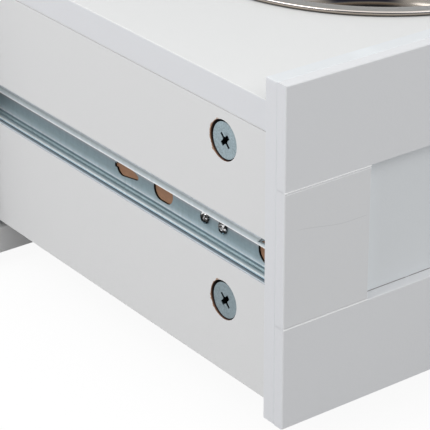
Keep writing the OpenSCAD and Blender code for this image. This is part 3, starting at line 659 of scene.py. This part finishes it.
@dataclass(frozen=True)
class SlideZinc(Finish):
    """Zinc on a rolled slide, with painted highlights, shade and reflections in lines along its
    bends.
    """

    face: float
    inward: float
    middle: float
    front: float
    # Lip colours by height in mm from the slide's middle: zinc with painted highlights on the
    # lips and painted shade beside them
    lip_shades: Stops = (
        (-7.70, shown(153, 190, 209)), (-6.95, shown(194, 213, 225)),
        (-6.42, shown(230, 237, 238)), (-6.02, shown(194, 202, 203)),
        (-5.62, shown(155, 166, 170)), (-5.30, shown(136, 151, 157)),
        (-5.02, shown(107, 126, 132)), (-4.00, shown(122, 138, 144)),
        (4.00, shown(150, 158, 162)), (5.00, shown(255, 255, 255)),
        (5.90, shown(207, 215, 220)), (6.40, shown(185, 193, 196)),
        (6.90, shown(168, 176, 179)), (7.25, shown(148, 155, 157)),
        (7.50, shown(160, 166, 170)), (7.95, shown(233, 240, 246)))
    # Web colours by height in mm: zinc with painted shade under the lips and at the bends, and
    # painted highlights low on the web
    web_shades: Stops = (
        (-8.00, shown(93, 114, 120)), (-7.40, shown(179, 196, 200)),
        (-6.95, shown(155, 170, 175)), (-6.72, shown(144, 156, 162)),
        (-6.35, shown(155, 171, 179)), (-6.10, shown(222, 236, 242)),
        (-5.80, shown(255, 255, 255)), (-4.80, shown(205, 217, 222)),
        (-3.20, shown(169, 185, 190)), (-1.70, shown(154, 171, 178)),
        (0.20, shown(147, 162, 168)), (0.90, shown(161, 168, 174)),
        (7.90, shown(140, 156, 162)))
    web: float = 5.0 * MM
    lip_end: Span = (3.1 * MM, 3.4 * MM)
    hole_edge: Span = (0.05 * MM, 0.14 * MM)
    relief: float = 0.016 * MM

    def shade(self, s: Shader) -> None:
        """Sets the shader.

        Args:
            s: The shader.
        """
        depth = (s.x - self.face) * self.inward
        level = (s.z - self.middle) * TO_MM
        line = s.noise(1.0, 3.0, 0.6, (2400.0, 12.0, 2400.0))
        streak = s.noise(1.0, 3.0, 0.6, (60.0, 620.0, 60.0))
        drift = s.noise(1.0, 2.0, 0.5, (4.0, 24.0, 4.0))
        spangle = s.noise(520.0, 3.0, 0.65)
        level = level + (line - 0.5) * 0.14 + (drift - 0.5) * 0.10
        lips = s.ramp(level, self.lip_shades)
        web = s.ramp(level, self.web_shades)
        colour = s.mix(depth.rise(*self.lip_end), lips, web)
        # Painted shade: darker further back from the slide's front end; the soft streaks are
        # partly painted reflection
        away = (s.y - self.front).rise(0.02, 0.20)
        gain = 0.66 + line * 0.20 + streak * 0.26 + spangle * 0.24 - away * 0.10
        colour = s.tint(colour, gain)
        # Painted shade: near black on the walls of the web's holes
        cut = depth.rise(*(self.web + edge for edge in self.hole_edge))
        colour = s.mix(cut, colour, shown(40, 36, 34))
        rough = 0.58 + line * 0.10 + streak * 0.08
        s.dress(line * 0.5 + streak * 0.3 + spangle * 0.2, self.relief, Base_Color=colour,
                Roughness=rough, Metallic=0.85)


@dataclass(frozen=True)
class SpunSteel(Finish):
    """Polished stainless steel, with painted reflections: lines round the bead, dark lobes near
    the bowl's corner.
    """

    centre: Colour
    rim: float
    bead: float
    tint: Colour = (0.540, 0.515, 0.485)
    roughness: float = 0.10
    rings: float = 900.0
    relief: float = 0.004 * MM
    lobe_axis: Span = (0.588, 0.809)
    lobe_depth: Span = (-20.0 * MM, -34.0 * MM)
    # Painted reflections on the bead: dark, tan and white lines by height in bead sizes
    bead_shades: Stops = (
        (0.0, shown(70, 64, 58)), (0.52, shown(74, 68, 62)), (0.68, shown(162, 153, 143)),
        (1.24, shown(168, 158, 148)), (1.36, shown(60, 60, 66)), (1.58, shown(64, 64, 70)),
        (1.70, shown(246, 238, 230)), (1.82, shown(238, 230, 222)), (1.94, shown(190, 184, 178)))
    # Painted reflections in the lobes, by radius in mm: dark, tan and grey bands
    floor_shades: Stops = (
        (50.0, shown(160, 154, 147)), (59.6, shown(120, 120, 120)), (60.6, shown(70, 74, 78)),
        (61.5, shown(160, 146, 134)), (62.6, shown(206, 184, 160)), (63.4, shown(178, 176, 170)),
        (64.0, shown(62, 66, 84)), (66.0, shown(38, 40, 48)), (73.0, shown(52, 53, 58)),
        (76.5, shown(110, 106, 102)), (77.6, shown(166, 160, 152)))

    def shade(self, s: Shader) -> None:
        """Sets the shader.

        Args:
            s: The shader.
        """
        east, north = s.x - self.centre[0], s.y - self.centre[1]
        run = (east ** 2 + north ** 2) ** 0.5
        radial = s.node("CombineXYZ", {}, run * self.rings, 0.0, s.z * self.rings)
        ring = Value(s, s.node("TexNoise", {}, Vector=radial.outputs[0], Scale=1.0,
                               Detail=2.0).outputs[0])
        cloud = s.noise(60.0, 3.0, 0.6)
        smear = s.noise(240.0, 2.0, 0.6)
        swirl = s.noise(26.0, 2.0, 0.5) - 0.5
        # Painted reflections: dark lobes on two opposite sides of the bowl's lower wall and
        # corner, and lines round the bead
        across, along = self.lobe_axis
        reflection_lobe = abs((east * across + north * along) / run) + swirl * 0.02
        low = (s.z - self.centre[2]).rise(*self.lobe_depth)
        dark = s.ramp(run * TO_MM + swirl * 1.2, self.floor_shades)
        colour = s.mix(reflection_lobe.rise(0.945, 0.985) * low, self.tint, dark)
        lift = (s.z - (self.centre[2] - 2.0 * self.bead)) * TO_MM
        rim = run.rise(self.rim - 1.12 * self.bead, self.rim - 0.98 * self.bead)
        colour = s.mix(rim, colour, s.ramp(lift / (self.bead * TO_MM), self.bead_shades))
        colour = s.tint(colour, 0.92 + ring * 0.08 + cloud * 0.08)
        rough = self.roughness + ring * 0.05 + smear.rise(0.45, 0.8) * 0.07
        s.dress(ring, self.relief, Base_Color=colour, Roughness=rough, Metallic=1.0)


@dataclass(frozen=True)
class SatinMetal(Finish):
    """Plated steel with a soft brushed sheen."""

    tint: Colour = (0.56, 0.55, 0.53)
    roughness: float = 0.26
    grain: Colour = (90.0, 2400.0, 2400.0)
    relief: float = 0.012 * MM

    def shade(self, s: Shader) -> None:
        """Sets the shader.

        Args:
            s: The shader.
        """
        grain = s.noise(1.0, 3.0, 0.6, self.grain)
        cloud = s.noise(120.0, 3.0, 0.6)
        colour = s.tint(self.tint, 0.82 + grain * 0.20 + cloud * 0.12)
        rough = self.roughness + grain * 0.14 + cloud * 0.06
        s.dress(grain, self.relief, Base_Color=colour, Roughness=rough, Metallic=1.0)


@dataclass(frozen=True)
class Moulding(Finish):
    """A moulded plastic or rubber with a fine dull skin."""

    tint: Colour
    roughness: float = 0.55
    grain: float = 1500.0
    relief: float = 0.05 * MM

    def shade(self, s: Shader) -> None:
        """Sets the shader.

        Args:
            s: The shader.
        """
        skin = s.noise(self.grain, 2.0, 0.55)
        cloud = s.noise(90.0, 3.0, 0.6)
        colour = s.tint(self.tint, 0.78 + cloud * 0.30 + skin * 0.12)
        rough = self.roughness + skin * 0.16 - cloud * 0.08
        s.dress(skin, self.relief, Base_Color=colour, Roughness=rough)


@dataclass(frozen=True)
class Beech(Finish):
    """Bare beech with short dark flecks along the grain."""

    tint: Colour = (0.57, 0.37, 0.16)
    relief: float = 0.03 * MM

    def shade(self, s: Shader) -> None:
        """Sets the shader.

        Args:
            s: The shader.
        """
        grain = s.noise(1.0, 4.0, 0.6, (60.0, 900.0, 900.0))
        fleck = s.noise(1.0, 2.0, 0.5, (500.0, 2600.0, 2600.0)).rise(0.60, 0.72)
        colour = s.tint(self.tint, 0.72 + grain * 0.50 - fleck * 0.25)
        s.dress(grain, self.relief, Base_Color=colour, Roughness=0.62 + grain * 0.15)


# Modelling


class Bench:
    """The hand modelling steps that the pieces share."""

    @staticmethod
    def clear() -> None:
        """Leaves edit mode and deselects everything."""
        if bpy.context.object and bpy.context.object.mode != "OBJECT":
            bpy.ops.object.mode_set(mode="OBJECT")
        bpy.ops.object.select_all(action="DESELECT")

    @staticmethod
    def lathe(profile: list[Span], centre: Vector, sides: int,
              capped: bool) -> bpy.types.Object:
        """Turns a profile by extruding a circle from point to point.

        Args:
            profile: Radius and height of each ring, in metres, from the first to the last.
            centre: The turning axis' foot.
            sides: Points round the circle.
            capped: Whether the last ring is closed with a face.

        Returns:
            The turned piece, selected and active.
        """
        Bench.clear()
        radius, height = profile[0]
        bpy.ops.mesh.primitive_circle_add(vertices=sides, radius=radius,
                                          location=centre + Vector((0.0, 0.0, height)))
        piece = bpy.context.object
        bpy.ops.object.transform_apply(location=True, rotation=True, scale=True)
        bpy.ops.object.mode_set(mode="EDIT")
        bpy.ops.mesh.select_all(action="SELECT")
        for next_radius, next_height in profile[1:]:
            bpy.ops.mesh.extrude_edges_move()
            scale = next_radius / radius
            bpy.ops.transform.resize(value=(scale, scale, 1.0), center_override=centre)
            bpy.ops.transform.translate(value=(0.0, 0.0, next_height - height))
            radius, height = next_radius, next_height
        if capped:
            bpy.ops.mesh.edge_face_add()
        bpy.ops.mesh.select_all(action="SELECT")
        bpy.ops.mesh.remove_doubles(threshold=1e-7)
        bpy.ops.mesh.normals_make_consistent(inside=False)
        bpy.ops.object.mode_set(mode="OBJECT")
        return piece

    @staticmethod
    def block(low: Vector, high: Vector) -> bpy.types.Object:
        """Adds a box between two corners.

        Args:
            low: Its lowest corner.
            high: Its highest corner.

        Returns:
            The box, selected and active.
        """
        Bench.clear()
        bpy.ops.mesh.primitive_cube_add(size=1.0, location=(low + high) / 2)
        piece = bpy.context.object
        piece.scale = high - low
        bpy.ops.object.transform_apply(location=True, rotation=True, scale=True)
        return piece

    @staticmethod
    def modify(piece: bpy.types.Object, kind: str, **settings: object) -> None:
        """Adds a modifier and applies it.

        Args:
            piece: The piece to change.
            kind: The modifier's type.
            settings: Its settings.
        """
        Bench.clear()
        piece.select_set(True)
        bpy.context.view_layer.objects.active = piece
        modifier = piece.modifiers.new(kind.title(), kind)
        for key, value in settings.items():
            setattr(modifier, key, value)
        bpy.ops.object.modifier_apply(modifier=modifier.name)

    @staticmethod
    def join(pieces: list[bpy.types.Object], name: str) -> bpy.types.Object:
        """Joins pieces into one.

        Args:
            pieces: The pieces, at least one.
            name: The new piece's name.

        Returns:
            The joined piece.
        """
        Bench.clear()
        for piece in pieces:
            piece.select_set(True)
        bpy.context.view_layer.objects.active = pieces[0]
        if len(pieces) > 1:
            bpy.ops.object.join()
        pieces[0].name = name
        return pieces[0]

    @staticmethod
    def smooth(piece: bpy.types.Object, degrees: float = 35.0) -> None:
        """Shades a piece smooth up to an angle.

        Args:
            piece: The piece to shade.
            degrees: The largest angle that still looks smooth.
        """
        Bench.clear()
        piece.select_set(True)
        bpy.context.view_layer.objects.active = piece
        bpy.ops.object.shade_smooth_by_angle(angle=math.radians(degrees))


def paint(piece: bpy.types.Object, material: bpy.types.Material) -> None:
    """Gives a piece one material.

    Args:
        piece: The piece.
        material: Its material.
    """
    piece.data.materials.clear()
    piece.data.materials.append(material)


def dress_nodes(material: bpy.types.Material, *nodes: str) -> None:
    """Gives CAD nodes a material.

    Args:
        material: The material.
        nodes: The nodes' names.
    """
    for node in nodes:
        paint(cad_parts[node], material)
    LOG.info("%s on %s", material.name, ", ".join(nodes))


class Side(Enum):
    """Left or right, as seen from the front."""

    LEFT = -1
    RIGHT = 1

    @property
    def word(self) -> str:
        """The side's word in the nodes' names."""
        return self.name.lower()


# The object's parts


def outer_face(side: Side) -> float:
    """The x of a drawer side's outer face.

    Args:
        side: Which side.

    Returns:
        The face's x.
    """
    low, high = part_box(f"drawer_side_{side.word}")
    return low.x if side is Side.LEFT else high.x


def arc(centre: Span, radius: float, start: float, turn: float, steps: int) -> list[Span]:
    """Points round a part of a circle.

    Args:
        centre: The circle's middle.
        radius: Its radius.
        start: Where the arc starts, in degrees.
        turn: How far it goes, in degrees.
        steps: Number of steps along it.

    Returns:
        The points, one more than the steps.
    """
    angles = [math.radians(start + k * turn / steps) for k in range(steps + 1)]
    return [(centre[0] + radius * math.cos(angle), centre[1] + radius * math.sin(angle))
            for angle in angles]


@dataclass
class Bowl:
    """A spun steel bowl with a flange and a rolled bead."""

    side: Side
    wall: float = 0.8 * MM
    bead: float = 1.0 * MM
    flange: float = 8.0 * MM
    depth: float = 52.0 * MM
    corner: float = 18.0 * MM
    bend: float = 3.0 * MM
    dish: float = 0.25 * MM
    sides: int = 192

    def profile(self, rim: float, top: float) -> list[Span]:
        """The bowl's section, from the bead's inner edge over the rim and down to the middle.

        Args:
            rim: Outer radius of the bead.
            top: Height of the bead's top.

        Returns:
            Radius and height of each ring.
        """
        inner, floor = rim - self.flange, top - self.depth
        corner_r = inner - self.corner
        points = arc((rim - self.bead, top - self.bead), self.bead, -150, 240, 14)
        points += arc((inner + self.bend, top - self.bend), self.bend, 90, 90, 6)
        points += arc((corner_r, floor + self.corner), self.corner, 0, -90, 12)
        points += [(corner_r * share, floor - self.dish * (1 - share ** 2))
                   for share in (0.75, 0.5, 0.25, 0.05)]
        return points

    def build(self) -> None:
        """Turns the bowl in its place, where it replaces its CAD node."""
        node = f"bowl_{self.side.word}"
        low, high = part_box(node)
        middle = (low + high) / 2
        rim = (high.x - low.x) / 2
        centre = Vector((middle.x, middle.y, 0.0))
        piece = Bench.lathe(self.profile(rim, high.z), centre, self.sides, True)
        Bench.modify(piece, "SOLIDIFY", thickness=self.wall, offset=-1.0)
        piece.name = f"spun_{node}"
        Bench.smooth(piece, 40.0)
        finish = SpunSteel(f"polished_{node}", (middle.x, middle.y, high.z), rim, self.bead)
        paint(piece, finish.material())
        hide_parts(node)
        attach(piece, node)
        LOG.info("%s", piece.name)


@dataclass
class FramedFront:
    """A front of two strips and two stiles on a panel, each with its own coat."""

    prefix: str
    crack_z: float = 0.0
    crack_drop: float = 3.5 * MM
    dirt: Colour = shown(112, 104, 98)

    def lacquers(self) -> tuple[Lacquer, Lacquer, Lacquer]:
        """The finishes of the strips, the stiles and the panel between them.

        Returns:
            Strips, stiles, panel.
        """
        strip_low, strip_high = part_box(f"{self.prefix}_front_low_strip")
        stile_low, stile_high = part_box(f"{self.prefix}_front_stile_left")
        right_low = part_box(f"{self.prefix}_front_stile_right")[0]
        end = strip_high.x - END_SKIN
        # Painted glow: soft light bands on the panel beside both stiles, as light thrown back
        # off them
        near = tuple(Line("x", x, 4.5 * MM, shown(236, 241, 244), 0.60, 0.9)
                     for x in (stile_high.x + 2.0 * MM, right_low.x - 2.0 * MM))
        joint = Line("z", strip_high.z + 0.05 * MM, 0.17 * MM, self.dirt, 0.75, broken=0.42,
                     within=end)
        # Painted highlights: light lines along the stiles' top and bottom edges and along their
        # inner edges
        marks = [Line("z", z, 0.35 * MM, shown(246, 247, 249), 0.8, within=end)
                 for z in (stile_low.z, stile_high.z)]
        marks += [Line("x", x, 0.30 * MM, shown(246, 248, 250), 0.6)
                  for x in (stile_high.x, right_low.x)]
        marks.append(Line("z", stile_low.z + 0.1 * MM, 0.15 * MM, self.dirt, 0.9, broken=0.60,
                          within=end))
        if self.crack_z:
            marks.append(HairCrack(strip_low.x + 3.0 * MM, stile_high.x - 1.0 * MM,
                                   strip_low.z + self.crack_z, self.crack_drop))
        return (Lacquer(f"{self.prefix}_strip_lacquer", (0.790, 0.800, 0.818), end=end),
                Lacquer(f"{self.prefix}_stile_lacquer", (0.785, 0.794, 0.808), end=end,
                        lines=tuple(marks)),
                Lacquer(f"{self.prefix}_panel_lacquer", (0.778, 0.806, 0.828), end=end,
                        lines=(*near, joint)))

    def dress(self) -> None:
        """Gives the front's boards their lacquer."""
        strips, stiles, panel = (finish.material() for finish in self.lacquers())
        front = f"{self.prefix}_front"
        dress_nodes(strips, f"{front}_top_strip", f"{front}_low_strip")
        dress_nodes(stiles, f"{front}_stile_left", f"{front}_stile_right")
        dress_nodes(panel, f"{front}_panel")


@dataclass
class JointPaint:
    """Lacquer that fills the joints of a framed front and stands in beads between its boards."""

    prefix: str
    body: str
    upper: float = 1.05 * MM
    lower: float = 0.50 * MM
    proud: float = 0.16 * MM
    overlap: float = 0.05 * MM
    sunk: float = 0.06 * MM
    short: float = 0.1 * MM

    def bead(self, start: Vector, end: Vector, size: float) -> bpy.types.Object:
        """Makes one bead, a small bar that stands on its edge.

        Args:
            start: One end of its axis.
            end: The other end, further along x.
            size: The side of its section.

        Returns:
            The bead.
        """
        half = Vector((0.0, size / 2, size / 2))
        bar = Bench.block(start - half, end + half)
        bpy.ops.object.mode_set(mode="EDIT")
        bpy.ops.mesh.select_all(action="SELECT")
        bpy.ops.transform.rotate(value=math.radians(45.0), orient_axis="X",
                                 center_override=(start + end) / 2)
        bpy.ops.object.mode_set(mode="OBJECT")
        return bar

    def filler(self, low: Vector, high: Vector, bottom: float, top: float) -> bpy.types.Object:
        """Fills one joint through the boards' thickness.

        Args:
            low: The stile's lowest corner.
            high: Its highest corner.
            bottom: The joint's lower face.
            top: Its upper face.

        Returns:
            The filler.
        """
        back = Vector((0.0, self.sunk, 0.0))
        return Bench.block(Vector((low.x, low.y, bottom - self.overlap)) + back,
                           Vector((high.x, high.y, top + self.overlap)) - back)

    def build(self, lacquer: bpy.types.Material) -> None:
        """Fills the joints at both stiles, in one piece that moves with the front's body.

        Args:
            lacquer: Their material.
        """
        bars = []
        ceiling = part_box(f"{self.prefix}_front_top_strip")[0].z
        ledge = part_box(f"{self.prefix}_front_low_strip")[1].z
        for side in Side:
            low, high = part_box(f"{self.prefix}_front_stile_{side.word}")
            for size, z in ((self.upper, high.z), (self.lower, ledge)):
                y = low.y - self.proud + size * math.sqrt(0.5)
                ends = (Vector((x, y, z)) for x in (low.x + self.short, high.x - self.short))
                bars.append(self.bead(*ends, size))
            bars.append(self.filler(low, high, high.z, ceiling))
            bars.append(self.filler(low, high, ledge, low.z))
        piece = Bench.join(bars, f"{self.prefix}_front_joint_paint")
        paint(piece, lacquer)
        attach(piece, self.body)
        LOG.info("%s", piece.name)


@dataclass
class Drawer:
    """The drawer: framed front, box, bowl panel and slides."""

    cam_y: float = 29.9 * MM
    cam_high: float = 98.9 * MM
    cam_low: float = 34.3 * MM
    hole_r: float = 7.9 * MM
    slide_z: float = SLIDE_Z
    groove: float = 18.0 * MM
    crack_z: float = 79.2 * MM
    seam: Colour = shown(150, 148, 146)

    def side_lacquer(self, side: Side) -> Lacquer:
        """The finish of a drawer side, bare inside its cam holes and groove.

        Args:
            side: Which side.

        Returns:
            The finish.
        """
        low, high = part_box(f"drawer_side_{side.word}")
        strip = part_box("drawer_front_low_strip")[0]
        cuts = tuple(RoundCut(low.y + self.cam_y, strip.z + z, self.hole_r)
                     for z in (self.cam_high, self.cam_low))
        groove = GrooveCut(strip.z + self.slide_z, self.groove / 2)
        top = Line("z", high.z, 0.24 * MM, self.seam, 0.45)
        return Lacquer(f"lacquer_{side.word}_side", cuts=(*cuts, groove),
                       face=outer_face(side), inward=float(-side.value), lines=(top,))

    def dress(self, lacquer: bpy.types.Material) -> None:
        """Gives the drawer's boards their lacquer.

        Args:
            lacquer: The plain lacquer.
        """
        FramedFront("drawer", self.crack_z).dress()
        dress_nodes(lacquer, "drawer_back")
        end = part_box("bowl_panel")[1].x - END_SKIN
        panel = Lacquer("lacquer_bowl_panel", (0.800, 0.806, 0.803), end=end)
        dress_nodes(panel.material(), "bowl_panel")
        for side in Side:
            dress_nodes(self.side_lacquer(side).material(), f"drawer_side_{side.word}")


@dataclass
class Metalwork:
    """Slides, screws, locks, hinges and knob."""

    slide_z: float = SLIDE_Z
    lock_shade: Span = (0.03, 0.07)

    def slides(self) -> None:
        """Gives the drawer's slides their zinc."""
        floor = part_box("drawer_front_low_strip")[0].z
        for side in Side:
            node = f"slide_channel_{side.word}"
            zinc = SlideZinc(f"zinc_{node}", outer_face(side), float(-side.value),
                             floor + self.slide_z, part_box(node)[0].y)
            dress_nodes(zinc.material(), node)

    def dress(self) -> None:
        """Gives the metal nodes their finishes."""
        self.slides()
        sheet = DrawnSheet("rolled_sheet").material()
        plate = BarePlate("zinc_plate").material()
        satin = SatinMetal("satin_plate").material()
        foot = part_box("drawer_side_right")[0].z
        shade_low, shade_high = (foot + rise for rise in self.lock_shade)
        locks = BarePlate("zinc_locks", face=outer_face(Side.RIGHT), low=shade_low,
                          high=shade_high)
        dress_nodes(locks.material(), "drawer_cam_locks")
        dress_nodes(BrightPlate("bright_plate").material(), "channel_screws")
        dress_nodes(sheet, "inner_rail_left", "inner_rail_right", "front_brackets")
        dress_nodes(plate, "cabinet_cam_locks", "cabinet_cam_bolts", "drawer_cam_bolts",
                    "back_panel_screws", "bracket_screws", "inner_rail_screws", "knob_screw")
        dress_nodes(satin, "hinge_leaves_fixed", "hinge_leaves_lid", "hinge_pins",
                    "hinge_screws_fixed", "hinge_screws_lid", "knob")
        dress_nodes(SatinMetal("ground_ball", roughness=0.08).material(), "cage_balls_left",
                    "cage_balls_right")


@dataclass
class Cabinet:
    """The cabinet and its lid."""

    boards: tuple[str, ...] = (
        "cabinet_side_left", "cabinet_side_right", "cabinet_bottom", "storage_floor",
        "cabinet_back", "hinge_rail", "lid")

    def dress(self, lacquer: bpy.types.Material) -> None:
        """Gives the boards, pads and dowels their finishes.

        Args:
            lacquer: The plain lacquer.
        """
        dress_nodes(lacquer, *self.boards)
        FramedFront("upper").dress()
        dress_nodes(Moulding("pad_rubber", (0.035, 0.035, 0.038), 0.62).material(), "floor_pads",
                    "lid_bumpers", "drawer_bumpers")
        dress_nodes(Moulding("cage_nylon", (0.028, 0.030, 0.033), 0.40).material(),
                    "ball_cage_left", "ball_cage_right")
        dress_nodes(Beech("beech").material(), "cabinet_dowels", "drawer_dowels")


# Camera and light


@dataclass(frozen=True)
class PhotoCamera:
    """The camera of the close view, held from the drawer front's lower left corner."""

    offset: Colour = (-0.4084, -0.5099, 0.4076)
    forward: Colour = (0.53504, 0.72060, -0.44098)
    right: Colour = (0.80192, -0.59742, -0.00329)
    lens: float = 177.42
    sensor: float = 36.0
    clip: Span = (0.02, 30.0)

    def build(self, corner: Vector) -> None:
        """Sets the scene's camera.

        Args:
            corner: The drawer front's lower left front corner.
        """
        data = bpy.data.cameras.new("close_view")
        data.lens, data.sensor_width = self.lens, self.sensor
        data.clip_start, data.clip_end = self.clip
        camera = bpy.data.objects.new("close_view", data)
        back = -Vector(self.forward).normalized()
        right = Vector(self.right).normalized()
        up = back.cross(right)
        matrix = Matrix((right, up, back)).transposed().to_4x4()
        matrix.translation = corner + Vector(self.offset)
        camera.matrix_world = matrix
        bpy.context.scene.collection.objects.link(camera)
        bpy.context.scene.camera = camera


@dataclass(frozen=True)
class Softbox:
    """A round soft lamp that faces the drawer."""

    name: str
    place: Colour
    power: float
    size: float

    def build(self, target: Vector) -> None:
        """Hangs the lamp.

        Args:
            target: Where it points.
        """
        data = bpy.data.lights.new(self.name, "AREA")
        data.shape, data.size, data.energy = "DISK", self.size, self.power
        lamp = bpy.data.objects.new(self.name, data)
        lamp.location = target + Vector(self.place)
        lamp.rotation_mode = "QUATERNION"
        lamp.rotation_quaternion = Vector(self.place).to_track_quat("Z", "Y")
        bpy.context.scene.collection.objects.link(lamp)


@dataclass(frozen=True)
class Studio:
    """Plain floor, soft lamps and a white background."""

    ambient: float = 0.50
    lamps: tuple[Softbox, ...] = (
        Softbox("side_softbox", (-0.60, 0.15, 0.66), 4.7, 0.7),
        Softbox("front_softbox", (0.05, -0.72, 0.70), 2.7, 0.7))
    floor: Colour = (0.45, 0.45, 0.45)
    white: Colour = (1.0, 1.0, 1.0)
    floor_size: float = 8.0
    floor_z: float = -0.2 * MM
    glow: float = 1.1
    glow_share: float = 0.85
    aim: float = 0.13

    def world(self) -> None:
        """Makes an even pale sky that reads white to the camera and in metal."""
        world = bpy.data.worlds.new("studio")
        bpy.context.scene.world = world
        world.use_nodes = True
        nodes = Nodes(world.node_tree)
        output = nodes.node("OutputWorld", {})
        sky = nodes.node("Background", {}, self.white, self.ambient)
        backdrop = nodes.node("Background", {}, self.white)
        seen = nodes.seen("Camera", "Glossy", "Transmission")
        mix = nodes.node("MixShader", {}, seen, sky.outputs[0], backdrop.outputs[0])
        nodes.feed(output.inputs[0], mix.outputs[0])

    def ground(self) -> None:
        """Lays the floor, which keeps a faint shadow."""
        Bench.clear()
        bpy.ops.mesh.primitive_plane_add(size=self.floor_size,
                                         location=(0.0, 0.0, self.floor_z))
        floor = bpy.context.object
        floor.name = "studio_floor"
        bpy.ops.object.transform_apply(location=True, rotation=True, scale=True)
        shader = Shader("studio_floor")
        shader.dress(Base_Color=self.floor, Roughness=0.9)
        glow = shader.node("Emission", {}, self.white, self.glow)
        seen = shader.seen("Camera", "Glossy")
        mix = shader.node("MixShader", {}, seen * self.glow_share, shader.surface.outputs[0],
                          glow.outputs[0])
        shader.feed(shader.output.inputs["Surface"], mix.outputs[0])
        paint(floor, shader.material)

    def build(self, corner: Vector) -> None:
        """Sets up the whole studio.

        Args:
            corner: The drawer front's lower left front corner, which the lamps point above.
        """
        target = corner + Vector((0.0, 0.0, self.aim))
        self.world()
        for lamp in self.lamps:
            lamp.build(target)
        self.ground()
        bpy.context.scene.view_settings.view_transform = "Standard"


def main() -> None:
    """Builds the looks of the feeder round its frame."""
    logging.basicConfig(level=logging.INFO)
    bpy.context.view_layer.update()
    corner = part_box("drawer_front_low_strip")[0]
    corner_end = -corner.x - END_SKIN
    PhotoCamera().build(corner)
    Studio().build(corner)
    lacquer = Lacquer("white_lacquer").material()
    Cabinet().dress(lacquer)
    Drawer().dress(lacquer)
    Metalwork().dress()
    # The joints' lacquer is whiter than the boards' as a painted highlight on the beads
    filler = Lacquer("joint_lacquer", (0.95, 0.955, 0.96), end=corner_end).material()
    for prefix, body in (("drawer", "drawer"), ("upper", "cabinet")):
        JointPaint(prefix, body).build(filler)
    for side in Side:
        Bowl(side).build()


if __name__ == "__main__":
    main()
